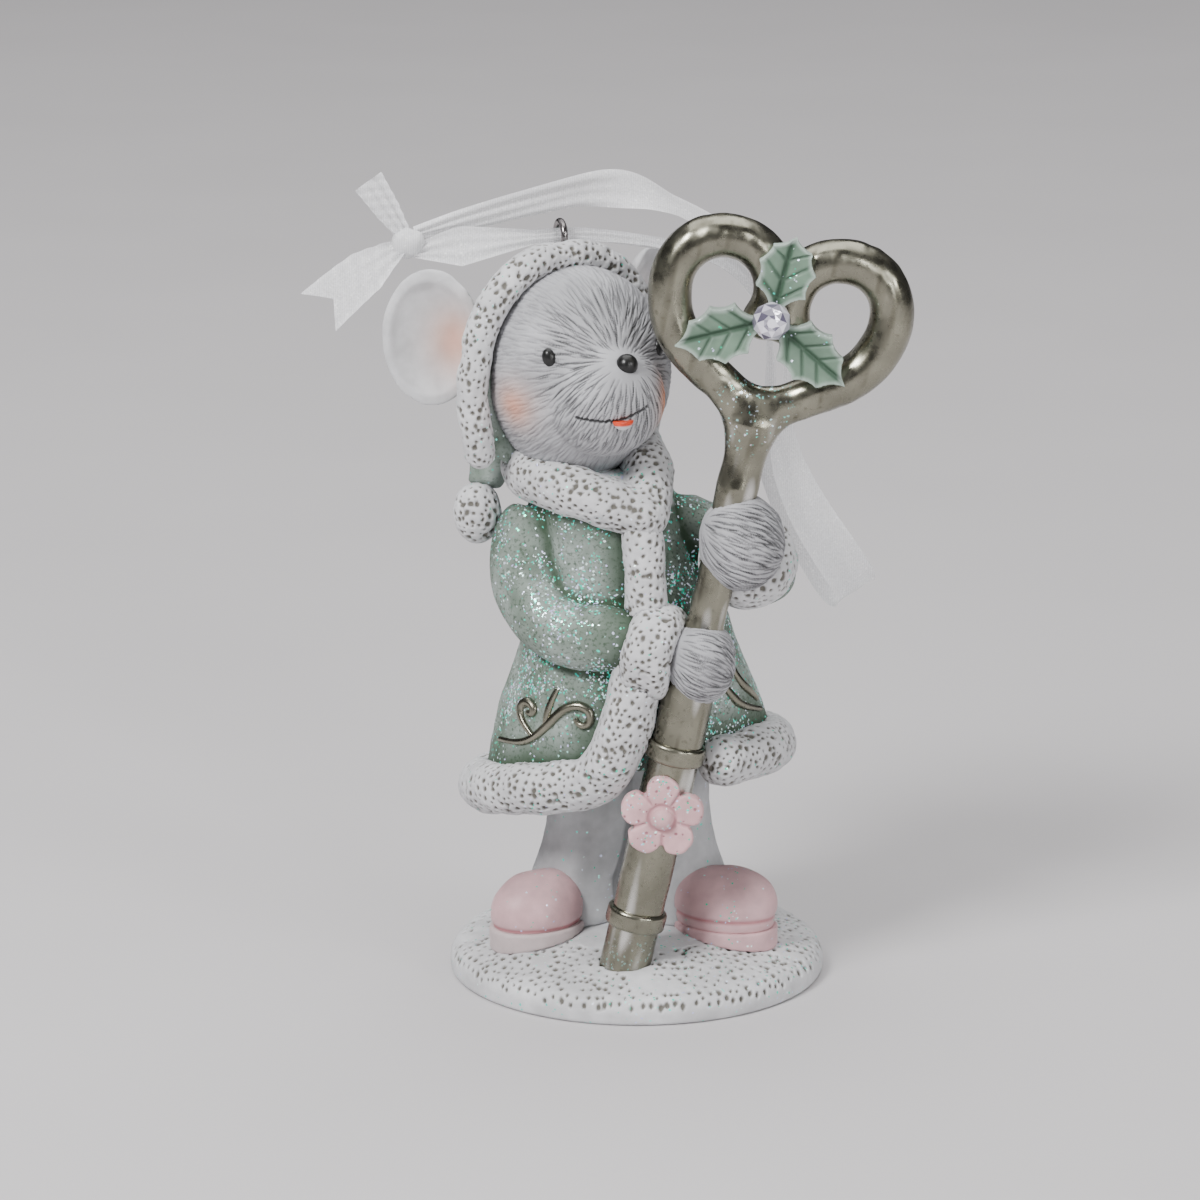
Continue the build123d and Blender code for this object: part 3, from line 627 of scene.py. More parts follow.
fur_paint = resin("fur_white", WHITE, PIT_BROWN, glitter=0.02, roughness=0.65)
snow_paint = resin("snow_white", WHITE, PIT_BROWN, glitter=0.03, roughness=0.6)
coat_paint = resin(
    "coat_green",
    COAT_GREEN,
    COAT_WASH_AND_SHADE,
    glitter=0.26,
    roughness=0.62,
    pale=COAT_PALE,
    rim=WHITE,
    wash_and_shade_at=(0.1, 1.0),
    freckle=0.75,
)
hood_paint = resin(
    "hood_green",
    COAT_GREEN,
    COAT_WASH_AND_SHADE,
    glitter=0.04,
    roughness=0.62,
    pale=COAT_PALE,
    freckle=0.4,
)
grey_paint = resin("mouse_grey", MOUSE_GREY, MOUSE_WASH_AND_SHADE, roughness=0.65, blush=BLUSH, wash_and_shade_at=(0.2, 0.75))
ear_paint = resin("ear_white", WHITE, MOUSE_WASH_AND_SHADE, roughness=0.6, blush=BLUSH)
boot_paint = resin("boot_pink", BOOT_PINK, BOOT_WASH, glitter=0.03, roughness=0.45)
sole_paint = resin("sole_pink", SOLE_PINK, BOOT_WASH, roughness=0.5)
trouser_paint = resin(
    "trouser_white", TROUSER_GREY, MOUSE_WASH_AND_SHADE, glitter=0.015, roughness=0.6, wash_and_shade_at=(0.1, 1.6)
)
leaf_paint = resin(
    "leaf_green", LEAF_GREEN, LEAF_VEIN_AND_SHADE, glitter=0.02, roughness=0.5, rim=LEAF_EDGE, wash_and_shade_at=(0.1, 1.1)
)
flower_paint = resin("flower_pink", FLOWER_PINK, FLOWER_WASH, glitter=0.06, roughness=0.5)
key_paint = silver("key_silver")
black_paint = gloss("gloss_black", BLACK)
red_paint = gloss("tongue_red", TONGUE_RED, rim=WHITE)
steel = wire("steel_wire")
stone = crystal("crystal")
sheer = organza("organza")

# Fur: lumpy white strips pressed full of pits
FUR_PIECES = ("hem_trim", "chest_trim", "collar", "hood_trim", "pompom", "right_cuff", "left_cuff")
FUR_SKIN = 0.1
FUR_LUMPS = ((0.2, 2.4, 0), (0.08, 0.9, 20))
for seed, node in enumerate(FUR_PIECES):
    fur = voxel_copy(node + "_fur", [node], FUR_VOXEL)
    relax(fur, 8)
    swell(fur, FUR_SKIN + uneven(coords(fur), FUR_LUMPS, seed))
    pit(fur, gap=0.74, radius=(0.2, 0.5), depth=0.34, seed=seed + 40)
    hand_over(fur, FIGURE, fur_paint, [node])

# Snow base: lumps that fade towards the foot, and pits in a broad band round the rim
BASE_LUMPS = ((0.18, 5.0, 3), (0.08, 1.6, 4))
BASE_FADE = 3.0
BASE_PLAIN_RADIUS = 11.5
BASE_PLAIN_FOOT = 2.2
BARE_SIZE = 4.0
BARE_BELOW = -0.5
base = voxel_copy("snow", ["snow_base"], BASE_VOXEL)
relax(base, 6)
co = coords(base)
swell(base, np.clip(co[:, 2] / BASE_FADE, 0, 1) * uneven(co, BASE_LUMPS))
co = coords(base)
rim_band = (np.hypot(co[:, 0], co[:, 1]) > BASE_PLAIN_RADIUS) & (co[:, 2] > BASE_PLAIN_FOOT)
speckled = rim_band & (noise(co, BARE_SIZE, 5) > BARE_BELOW)
pit(
    base,
    gap=0.84,
    radius=(0.26, 0.5),
    depth=0.4,
    seed=60,
    allowed=speckled,
    squeeze=(1.2, 0.7, 0.7),
    wobble=0.3,
)
hand_over(base, FIGURE, snow_paint, ["snow_base"])

# Cloth: what the coat, the hood and the trousers share
CLOTH_SKIN = 0.1
CLOTH_HOLLOW = 0.2
FOLD_SIZE = 4.2
GRAIN_SIZE = 1.2
GRAIN_HEIGHT = 0.06


def cut_cloth(name, nodes):
    """One smooth cloth of some CAD nodes."""
    cloth = voxel_copy(name, nodes, CLOTH_VOXEL)
    relax(cloth, 8)
    relax(cloth, 6, shrink=True)
    return cloth


def drape(cloth, height, upright, seed):
    """Lays soft folds over a cloth, longer in height where upright is below 1, and a fine grain."""
    co = coords(cloth)
    folds = height * noise(co * (1, 1, upright), FOLD_SIZE, seed)
    swell(cloth, CLOTH_SKIN + folds + GRAIN_HEIGHT * noise(co, GRAIN_SIZE, seed + 10))


# Coat with its sleeves: grooves at the armholes, painted shade in them, beside the fur and in the hollows,
# white at the neck in front
SLEEVES = ("right_sleeve", "left_sleeve")
ARMHOLE_REACH = 1.5
ARMHOLE_DEPTH = 0.55
ARMHOLE_SHADE = 0.35
BESIDE_FUR = 5.0
BESIDE_FUR_POWER = 1.5
BESIDE_FUR_SHADE = 0.95
NECK_HEIGHT = 62.0
NECK_BLEND = 0.8
NECK_FRONT = -4.0
coat = cut_cloth("coat_cloth", ("coat", *SLEEVES))
drape(coat, height=0.34, upright=0.5, seed=80)
co = coords(coat)
armholes = seams(coat, ("coat",), SLEEVES, ARMHOLE_REACH)
swell(coat, -ARMHOLE_DEPTH * armholes)
relax(coat, 2, shrink=True)
# Painted shade in the coat's hollows
shade_hollows(coat, CLOTH_HOLLOW, rounds=14)
coat_surface = surface_of(coat)
beside_fur = closeness(coat, FUR_PIECES, BESIDE_FUR) ** BESIDE_FUR_POWER
# Painted shade beside the fur and in the armhole creases
add_painted_shade(coat, BESIDE_FUR_SHADE * beside_fur + ARMHOLE_SHADE * armholes)
neck = np.clip((co[:, 2] - NECK_HEIGHT) / NECK_BLEND, 0, 1) * np.clip(NECK_FRONT - co[:, 1], 0, 1)
paint(coat, "rim", neck)
hand_over(coat, FIGURE, coat_paint, ("coat", *SLEEVES))

# Hood: its tail is smoothed into it along the seam
TAIL_BLEND = 6.0
hood = cut_cloth("hood_cloth", ("hood", "hood_tail"))
relax(hood, 90, shrink=True, share=seams(hood, ("hood",), ("hood_tail",), TAIL_BLEND))
drape(hood, height=0.15, upright=1.0, seed=81)
# Painted shade in the hood's hollows
shade_hollows(hood, CLOTH_HOLLOW, rounds=14)
hand_over(hood, FIGURE, hood_paint, ("hood", "hood_tail"))

# Trousers: legs that flare at the ankle
LEG_X = -1.0
LEG_FLARE = 1.7
LEG_FLARE_TOP = 23.0
LEG_FLARE_LENGTH = 11.0
trousers = cut_cloth("trousers_cloth", ("trousers",))
drape(trousers, height=0.15, upright=0.5, seed=82)
co = coords(trousers)
low = np.clip((LEG_FLARE_TOP - co[:, 2]) / LEG_FLARE_LENGTH, 0, 1)
place(trousers, co + np.outer(np.sign(co[:, 0] - LEG_X) * LEG_FLARE * low**2, (1, 0, 0)))
# Painted shade in the trousers' hollows
shade_hollows(trousers, CLOTH_HOLLOW, rounds=14)
hand_over(trousers, FIGURE, trouser_paint, ("trousers",))

# Head: muzzle melted into the skull, hair grooves away from the nose, mouth line and blush
HEAD_SKIN = 0.12
HEAD_LUMPS = ((0.1, 3.0, 11),)
HOOD_FILL = 0.32
FACE_REACH = 9.0
FACE_BLEND = 4.0
FACE_BACK = 1.5
NOSE_CLEAR = 2.0
EDGE_PALER = 0.5
MOUTH_LINE = ((-5.8, 0.6, 0.5), (-2.6, 0.0, 0.2), (0.4, 0.0, 0.5), (3.6, 1.4, 1.8))
EYE_SOCKET = ((0, 0, -1.25), (0, 0, 1.2))
NEAR_BLUSH = (-14.2, -8.4, 76.2)
FAR_BLUSH = (3.6, -9.0, 76.6)
BLUSH_REACH = 2.5
nose = centre("nose")
mouth = centre("tongue")
head = voxel_copy("head_grey", ["head"], FACE_VOXEL)
relax(head, 6)
relax(head, 60, shrink=True)
co = coords(head)
toward_hood = np.clip((distance(co, nose) - FACE_REACH) / FACE_BLEND, 0, 1)
swell(head, HEAD_SKIN + HOOD_FILL * toward_hood + uneven(co, HEAD_LUMPS))
co = coords(head)
tooling(
    head,
    flow=lambda spot: spot - Vector(nose),
    gap=0.58,
    length=(1.8, 4.4),
    width=0.16,
    depth=0.17,
    seed=12,
    allowed=(co[:, 1] < FACE_BACK) & (distance(co, nose) > NOSE_CLEAR),
)
paint(head, "wash_and_shade", painted_values(head, "wash_and_shade") * (1 - EDGE_PALER * toward_hood))
score(head, [mouth + spot for spot in MOUTH_LINE], width=0.25, depth=0.25)
for node in ("right_eye", "left_eye"):
    score(head, [centre(node) + spot for spot in EYE_SOCKET], width=0.75, depth=0.05, force=0.25)
co = coords(head)
cheeks = [bell(distance(co, spot), BLUSH_REACH) for spot in (NEAR_BLUSH, FAR_BLUSH)]
paint(head, "blush", np.maximum(*cheeks))
hand_over(head, FIGURE, grey_paint, ["head"])

# Paws: grooves that run round the shank
PAW_SKIN = 0.08
PAW_LUMPS = ((0.14, 1.7, 15),)
PAW_STRETCH = (0.4, 0.4, 1.0)
PAW_FLOW = (0.9, 0.1, -0.36)
for seed, node in enumerate(("right_paw", "left_paw")):
    paw = voxel_copy(node + "_grey", [node], FACE_VOXEL)
    relax(paw, 8)
    co = coords(paw)
    swell(paw, PAW_SKIN + uneven(co * PAW_STRETCH, PAW_LUMPS, seed))
    tooling(
        paw,
        flow=lambda spot: PAW_FLOW,
        gap=0.6,
        length=(1.8, 4.0),
        width=0.17,
        depth=0.2,
        seed=seed + 17,
        allowed=np.ones(len(co), bool),
    )
    hand_over(paw, FIGURE, grey_paint, [node])

# Ears: blush on the side towards the head
EAR_SKIN = 0.05
EAR_LUMPS = ((0.08, 2.0, 25),)
EAR_BLUSH = 0.62
EAR_BLUSH_REACH = 3.2
EAR_BLUSH_STRETCH = (1.0, 0.6, 0.8)
EAR_BLUSH_ASIDE = 3.0
EAR_BLUSH_FORWARD = -1.0
EAR_BLUSH_DOWN = -0.6
for seed, (node, side) in enumerate((("right_ear", 1), ("left_ear", -1))):
    ear = voxel_copy(node + "_white", [node], FUR_VOXEL)
    relax(ear, 8)
    relax(ear, 25, shrink=True)
    swell(ear, EAR_SKIN + uneven(coords(ear), EAR_LUMPS, seed))
    spot = centre(node) + (side * EAR_BLUSH_ASIDE, EAR_BLUSH_FORWARD, EAR_BLUSH_DOWN)
    away = np.linalg.norm((coords(ear) - spot) * EAR_BLUSH_STRETCH, axis=1)
    facing = np.clip(-normals(ear)[:, 1] * 2, 0, 1)
    paint(ear, "blush", EAR_BLUSH * facing * bell(away, EAR_BLUSH_REACH))
    hand_over(ear, FIGURE, ear_paint, [node])

# Boots: a raised ankle and a seam over the sole; the left one squarer, the right one slimmer
BOOT_SKIN = 0.06
BOOT_LUMPS = ((0.12, 2.6, 30),)
SOLE_LUMPS = ((0.08, 2.0, 34),)
SEAM_WIDTH = 0.3
SEAM_DEPTH = 0.22
SEAM_WASH = 0.6
ANKLE_LIFT = 0.7
ANKLE_REACH = 3.4
BOOTS = {
    "right": {"seam": 0.35, "ankle": (-9.4, -3.6, 14.2), "sole": sole_paint, "slim": 0.9, "boxy": 2.2},
    "left": {"seam": 1.5, "ankle": (11.6, -2.2, 14.0), "sole": boot_paint, "slim": 1.0, "boxy": 3.4},
}


def squared(co, boxy):
    """Points of a half-round form seen from the front, drawn towards a box; 2 leaves them as they are."""
    low, high = co.min(axis=0), co.max(axis=0)
    aside = (2 * co[:, 0] - low[0] - high[0]) / (high[0] - low[0])
    above = (co[:, 2] - low[2]) / (high[2] - low[2])
    turn = np.arctan2(above, np.abs(aside))
    squarer = (np.cos(turn) ** boxy + np.sin(turn) ** boxy) ** (-1 / boxy)
    out = co.copy()
    out[:, 0] += (squarer - 1) * aside * (high[0] - low[0]) / 2
    out[:, 2] += (squarer - 1) * above * (high[2] - low[2])
    return out


for seed, (side, cut) in enumerate(BOOTS.items()):
    boot = voxel_copy(side + "_boot_pink", [side + "_boot"], METAL_VOXEL)
    relax(boot, 8)
    edge = coords(boot)[:, 0].min()
    co = squared(coords(boot), cut["boxy"])
    co[:, 0] = edge + cut["slim"] * (co[:, 0] - edge)
    place(boot, co)
    seam = bell(co[:, 2] - co[:, 2].min() - cut["seam"], SEAM_WIDTH)
    lift = ANKLE_LIFT * bell(distance(co, cut["ankle"]), ANKLE_REACH)
    swell(boot, BOOT_SKIN + uneven(co, BOOT_LUMPS, seed) - SEAM_DEPTH * seam + lift)
    paint(boot, "wash_and_shade", SEAM_WASH * seam)
    hand_over(boot, FIGURE, boot_paint, [side + "_boot"])
    sole = voxel_copy(side + "_sole_pink", [side + "_sole"], METAL_VOXEL)
    relax(sole, 12)
    co = coords(sole)
    co[:, 0] = edge + cut["slim"] * (co[:, 0] - edge)
    place(sole, co)
    swell(sole, BOOT_SKIN + uneven(co, SOLE_LUMPS, seed))
    hand_over(sole, FIGURE, cut["sole"], [side + "_sole"])

# Key: shank and bow run into each other at the fork, with dents, painted shade in the hollows, dark streaks
# of painted reflection and bright strokes of painted highlight along the length
KEY_SKIN = 0.1
KEY_LEAN = 12.5
KEY_STRETCH = 0.85
KEY_DENTS = ((0.08, 1.2, 50),)
KEY_LUMPS = ((0.05, 2.2, 51),)
KEY_HOLLOW = 0.1
FORK = (13.9, -13.5, 76.2)
FORK_RADII = (4.0, 2.6, 3.4)
FORK_REACH = 10.0
FORK_BLEND = 4.0
FORK_DEPTH = 3.7
STREAK_SIZE = 0.8
STREAK_DARK_REFLECTION = 0.6
HIGHLIGHT_STROKES = ((1.6, 1.1, 55),)
HIGHLIGHT_PATCHES = ((0.5, 3.0, 57),)
HIGHLIGHT_BARE = 0.35
HIGHLIGHT_STRENGTH = 0.8
HIGHLIGHT_FADE = 3.0
SPARKLE_REACH = 7.0
SPARKLE_FOOT = 20.0
SPARKLE_LOW = 0.35
key = voxel_copy("key_metal", ["key_shank", "key_bow"], METAL_VOXEL, [(FORK, FORK_RADII)])
relax(key, 10, shrink=True)
co = coords(key)
near_fork = np.clip((FORK_REACH - distance(co, FORK)) / FORK_BLEND, 0, 1)
depth = co[:, 1] - FORK[1]
co[:, 1] += near_fork * (FORK_DEPTH * np.tanh(depth / FORK_DEPTH) - depth)
place(key, co)
relax(key, 200, shrink=True, share=near_fork)
co = coords(key)
up_key = np.array((math.sin(math.radians(KEY_LEAN)), 0, math.cos(math.radians(KEY_LEAN))))
drawn = co - KEY_STRETCH * np.outer(co @ up_key, up_key)
swell(key, KEY_SKIN + uneven(drawn, KEY_DENTS) + uneven(co, KEY_LUMPS))
# Painted shade in the key's hollows
shade_hollows(key, KEY_HOLLOW, rounds=10)
# Painted reflection: dark streaks along the key's length
add_painted_shade(key, STREAK_DARK_REFLECTION * np.clip(noise(drawn, STREAK_SIZE, 52), 0, 1))
# Painted highlights: bright strokes along the shank, fading out towards the fork
brush_marks_and_highlights = np.clip(uneven(drawn, HIGHLIGHT_STROKES) + uneven(co, HIGHLIGHT_PATCHES) - HIGHLIGHT_BARE, 0, 1)
below_fork = np.clip((FORK[2] - co[:, 2]) / HIGHLIGHT_FADE, 0, 1)
paint(key, "painted_highlight", HIGHLIGHT_STRENGTH * brush_marks_and_highlights * below_fork)
sparkle = np.clip(1 - distance(co, FORK) / SPARKLE_REACH, 0, 1)
paint(key, "rim", np.maximum(sparkle, SPARKLE_LOW * np.clip(1 - co[:, 2] / SPARKLE_FOOT, 0, 1)))
hand_over(key, FIGURE, key_paint, ["key_shank", "key_bow"])

# Rings round the key's shank
RING_SKIN = 0.04
RING_LUMPS = ((0.05, 1.4, 53),)
RING_HOLLOW = 0.08
for seed, node in enumerate(("key_lower_ring", "key_upper_ring")):
    ring = voxel_copy(node + "_metal", [node], LEAF_VOXEL)
    relax(ring, 6)
    swell(ring, RING_SKIN + uneven(coords(ring), RING_LUMPS, seed))
    # Painted shade in the ring's hollows
    shade_hollows(ring, RING_HOLLOW, rounds=8)
    hand_over(ring, FIGURE, key_paint, [node])

# Holly leaves: folded along the midrib, cut by slanted side veins, painted shade at the root and along the
# midrib, pale along the edge
LEAF_FOLD = 0.26
LEAF_LUMPS = ((0.1, 1.5, 56),)
LEAF_EDGE_WIDTH = 0.6
LEAF_EDGE_PALE = 0.75
LEAF_SIDE_PALE = 0.6
LEAF_WALL = 0.35
MIDRIB_WIDTH = 0.3
SIDE_VEINS = (2.6, 5.0, 7.4)
VEIN_SLANT = 0.9
VEIN_WIDTH = 0.26
VEIN_REACH = 3.2
VEIN_FADE = 0.8
VEIN_FORCE = 0.8
VEIN_DEPTH = 0.34
ROOT_SHADE = 0.6
ROOT_REACH = 4.0
MIDRIB_SHADE = 0.35
MIDRIB_REACH = 1.0
TIP_START = 8.0
TIP_TUCK = {"upper_leaf": 0.4}
stone_spot = centre("rhinestone")


def veins(along, across):
    """How strongly the midrib and the side veins are cut, by place along and across a leaf."""
    cut = bell(across, MIDRIB_WIDTH)
    run = np.clip(across / MIDRIB_WIDTH, 0, 1) * np.clip((VEIN_REACH - across) / VEIN_FADE, 0, 1)
    for start in SIDE_VEINS:
        cut = np.maximum(cut, VEIN_FORCE * run * bell(along - start - VEIN_SLANT * across, VEIN_WIDTH))
    return cut


for seed, node in enumerate(("upper_leaf", "right_leaf", "left_leaf")):
    leaf = voxel_copy(node + "_green", [node], LEAF_VOXEL)
    relax(leaf, 5)
    blade = centre(node) - stone_spot
    blade[1] = 0
    blade /= np.linalg.norm(blade)
    co = coords(leaf)
    flat = co - stone_spot
    along = flat @ blade
    across = np.abs(flat[:, 0] * blade[2] - flat[:, 2] * blade[0])
    toward = -normals(leaf)[:, 1]
    face = np.clip(toward * 1.5 - 0.3, 0, 1)
    walls = spread(co[np.abs(toward) < LEAF_WALL])
    edge = np.clip(1 - np.array([walls.find(spot)[2] for spot in co.tolist()]) / LEAF_EDGE_WIDTH, 0, 1)
    vein = veins(along, across)
    relief = LEAF_FOLD * across - VEIN_DEPTH * vein + uneven(co, LEAF_LUMPS, seed)
    co[:, 1] -= np.clip(toward + 0.4, 0, 1) * relief
    tuck = TIP_TUCK.get(node, 0.0) * np.clip(along - TIP_START, 0, None)
    place(leaf, co - np.outer(tuck, blade))
    # Painted shade: darker at the root, by the stone, and along the midrib
    shade = ROOT_SHADE * bell(along, ROOT_REACH) + MIDRIB_SHADE * bell(across, MIDRIB_REACH)
    paint(leaf, "wash_and_shade", face * np.clip(vein + shade, 0, 1))
    paint(leaf, "rim", np.maximum(LEAF_EDGE_PALE * edge, LEAF_SIDE_PALE * (1 - face)))
    hand_over(leaf, FIGURE, leaf_paint, [node])

# Flower on the shank: a ring groove round the bead, rays between the petals, small dark pits
FLOWER_SKIN = 0.05
PETALS = 5
PETAL_LUMPS = ((0.1, 1.1, 70),)
BEAD_LUMPS = ((0.05, 1.1, 71),)
GROOVE_RADIUS = 1.65
GROOVE_WIDTH = 0.28
GROOVE_DEPTH = 0.3
GROOVE_WASH = 0.45
RAY_START = 1.2
RAY_SHARPNESS = 12
PETAL_PITS_START = 2.0
bead_spot = centre("flower_centre")
petals = voxel_copy("flower_pink", ["flower"], LEAF_VOXEL)
relax(petals, 8)
co = coords(petals)
aside = co[:, 0] - bead_spot[0]
above = co[:, 2] - bead_spot[2]
away = np.hypot(aside, above)
turn = np.arctan2(above, aside) - math.pi / 2 - math.pi / PETALS
rays = np.clip(np.cos(PETALS * turn), 0, 1) ** RAY_SHARPNESS
hollow = np.maximum(bell(away - GROOVE_RADIUS, GROOVE_WIDTH), rays * np.clip(away - RAY_START, 0, 1))
swell(petals, FLOWER_SKIN + uneven(co, PETAL_LUMPS) - GROOVE_DEPTH * hollow)
pit(petals, gap=1.1, radius=(0.14, 0.24), depth=0.12, seed=72, allowed=away > PETAL_PITS_START)
paint(petals, "wash_and_shade", np.maximum(painted_values(petals, "wash_and_shade"), GROOVE_WASH * hollow))
hand_over(petals, FIGURE, flower_paint, ["flower"])
bead = voxel_copy("flower_centre_pink", ["flower_centre"], LEAF_VOXEL)
relax(bead, 8)
swell(bead, FLOWER_SKIN + uneven(coords(bead), BEAD_LUMPS))
hand_over(bead, FIGURE, flower_paint, ["flower_centre"])

# Rhinestone: table, crown facets, girdle, each level as its depth, its share of the radius and its turn
GEM_SIDES = 8
GEM_FLAT = 0.02
GEM_SEED = 7
gem_low, gem_high = (np.array(corner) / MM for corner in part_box("rhinestone"))
gem_radius = (gem_high[0] - gem_low[0]) / 2
GEM_LEVELS = (
    (gem_high[1], 1.0, 0.0),
    (gem_low[1] + 1.1, 1.0, 0.5),
    (gem_low[1] + 0.4, 0.78, 0.0),
    (gem_low[1] + 0.1, 0.45, 0.5),
    (gem_low[1], 0.26, 0.0),
)
gem_mesh = bmesh.new()
for depth, share, shift in GEM_LEVELS:
    for i in range(GEM_SIDES):
        turn = 2 * math.pi * (i + shift) / GEM_SIDES
        spot = Vector((math.cos(turn) * share * gem_radius, 0, math.sin(turn) * share * gem_radius))
        gem_mesh.verts.new(spot + Vector((stone_spot[0], depth, stone_spot[2])))
bmesh.ops.convex_hull(gem_mesh, input=gem_mesh.verts)
bmesh.ops.dissolve_limit(gem_mesh, angle_limit=GEM_FLAT, verts=gem_mesh.verts, edges=gem_mesh.edges)
bmesh.ops.recalc_face_normals(gem_mesh, faces=gem_mesh.faces)
gem_data = bpy.data.meshes.new("rhinestone_cut")
gem_mesh.to_mesh(gem_data)
gem_mesh.free()
gem = linked("rhinestone_cut", gem_data)
hand_over(gem, FIGURE, stone, ["rhinestone"])
gem.data.shade_flat()
# Painted reflections: each facet gets a random tone from dark to bright
facet_reflections = np.random.default_rng(GEM_SEED).uniform(0, 1, len(gem.data.polygons))
facets = gem.data.attributes.new("tone", "FLOAT", "FACE")
facets.data.foreach_set("value", facet_reflections.astype(np.float32))

# Screw eye, and the black beads of the face
GLOSS_SKIN = 0.12
frame["nodes"]["screw_eye"].data.materials.clear()
frame["nodes"]["screw_eye"].data.materials.append(steel)
for node in ("nose", "right_eye", "left_eye"):
    bead = voxel_copy(node + "_black", [node], BEAD_VOXEL)
    relax(bead, 10)
    swell(bead, GLOSS_SKIN)
    hand_over(bead, FIGURE, black_paint, [node])

# Tongue: narrower towards the tip, with a white rim below
TONGUE_SKIN = 0.05
TONGUE_TIP = 0.5
TONGUE_TOP = 0.3
TONGUE_RIM = 0.42
TONGUE_RIM_BLEND = 0.1
tongue = voxel_copy("tongue_red", ["tongue"], BEAD_VOXEL)
relax(tongue, 6)
swell(tongue, TONGUE_SKIN)
co = coords(tongue)
lift = (co[:, 2] - co[:, 2].min()) / np.ptp(co[:, 2])
co[:, 0] = mouth[0] + (co[:, 0] - mouth[0]) * (TONGUE_TIP + (1 - TONGUE_TIP) * np.sqrt(lift))
co[:, 2] = np.minimum(co[:, 2], mouth[2] + TONGUE_TOP)
place(tongue, co)
paint(tongue, "rim", np.clip((TONGUE_RIM - lift) / TONGUE_RIM_BLEND, 0, 1))
hand_over(tongue, FIGURE, red_paint, ["tongue"])

# Scroll ornament in low relief on the coat's front, as (x, height) seen from the front
SCROLL_RADIUS = 0.6
SCROLL_THIN = 0.6
SCROLL_SWELL = 0.5
SCROLL_RESOLUTION = 12
SCROLL_FRONT = -60.0
SCROLL_SIDE = -3.0
SCROLLS = {
    "vine": (
        (-17.4, 31.4),
        (-15.4, 31.8),
        (-13.2, 32.8),
        (-11.2, 35.0),
        (-9.4, 37.2),
        (-7.4, 38.0),
        (-5.8, 37.2),
        (-6.0, 35.6),
        (-7.4, 35.2),
        (-7.8, 36.2),
    ),
    "curl": (
        (-13.0, 33.0),
        (-14.4, 34.4),
        (-14.9, 36.2),
        (-13.9, 37.4),
        (-12.9, 36.7),
        (-13.3, 35.7),
        (-13.9, 36.0),
    ),
    "stem": ((-11.6, 34.4), (-11.5, 36.8), (-10.0, 39.6)),
    "side": ((10.6, 39.9), (11.4, 38.5), (13.2, 36.1), (15.6, 34.8)),
    "side_upper": ((12.0, 41.2), (12.7, 39.4), (14.2, 37.6), (16.2, 36.6)),
}


def on_coat(x, z):
    """The point of the coat behind a spot seen from the front, or the nearest one at its side."""
    hit = coat_surface.ray_cast(Vector((x, SCROLL_FRONT, z)), Vector((0, 1, 0)))[0]
    return hit or coat_surface.find_nearest(Vector((x, SCROLL_SIDE, z)))[0]


for name, spots in SCROLLS.items():
    path = [on_coat(x, z) for x, z in spots]
    shares = [i / (len(spots) - 1) for i in range(len(spots))]
    radii = [SCROLL_THIN + SCROLL_SWELL * math.sin(math.pi * share) for share in shares]
    mesh = nurbs("scroll_" + name, path, SCROLL_RESOLUTION, SCROLL_RADIUS, radii)
    hand_over(linked("scroll_relief_" + name, mesh), FIGURE, key_paint)

# Ribbon: the route's points in mm, as in the CAD, on one smooth spline
RIBBON_WIDTH = 6.0
RIBBON_RESOLUTION = 14
RIBBON_COLUMNS = 12
GATHERED = 1.8
PLEATS = 3
PLEAT_DEPTH = 0.5
WAVE_DEPTH = 0.12
WAVE_ACROSS = 9
WAVE_ALONG = 40
SELVEDGE = 0.4
SELVEDGE_BLEND = 0.08
NOTCH_START = 0.72
NOTCH_MIDDLE = 0.6
THROUGH_RING = 3.5
ring_spot = np.array(frame["joints"][0]["pos_m"]) / MM
through = np.array(frame["joints"][0]["axis"]) * THROUGH_RING
KNOT = np.array((-28.6, 2.8, 93.8))
ROUTE = [
    KNOT + (0.8, 0.5, 1.0),
    (-15.0, 3.8, 98.4),
    (-2.4, 5.0, 101.2),
    (7.2, 7.0, 96.9),
    (13.9, 9.0, 92.0),
    (18.4, 10.0, 84.4),
    (19.2, 10.4, 75.0),
    (18.2, 10.5, 66.4),
    (21.2, 10.8, 58.6),
    (25.6, 11.6, 51.6),
    (29.0, 13.4, 46.2),
    (27.0, 16.2, 45.2),
    (23.6, 16.4, 50.4),
    (19.8, 15.4, 57.4),
    (16.6, 14.6, 65.6),
    (17.2, 14.2, 75.0),
    (16.6, 13.4, 83.4),
    (11.8, 11.0, 90.0),
    (2.6, 6.8, 93.0),
    ring_spot + through,
    ring_spot - through,
    KNOT + (0.8, -0.4, -1.0),
]
TAIL_UP = [KNOT + (-0.4, 0.0, 0.6), (-31.2, 2.6, 98.0), (-33.6, 2.8, 101.6)]
TAIL_DOWN = [KNOT + (-0.6, -0.2, -0.2), (-33.4, 0.6, 91.4), (-39.0, -1.6, 86.6)]

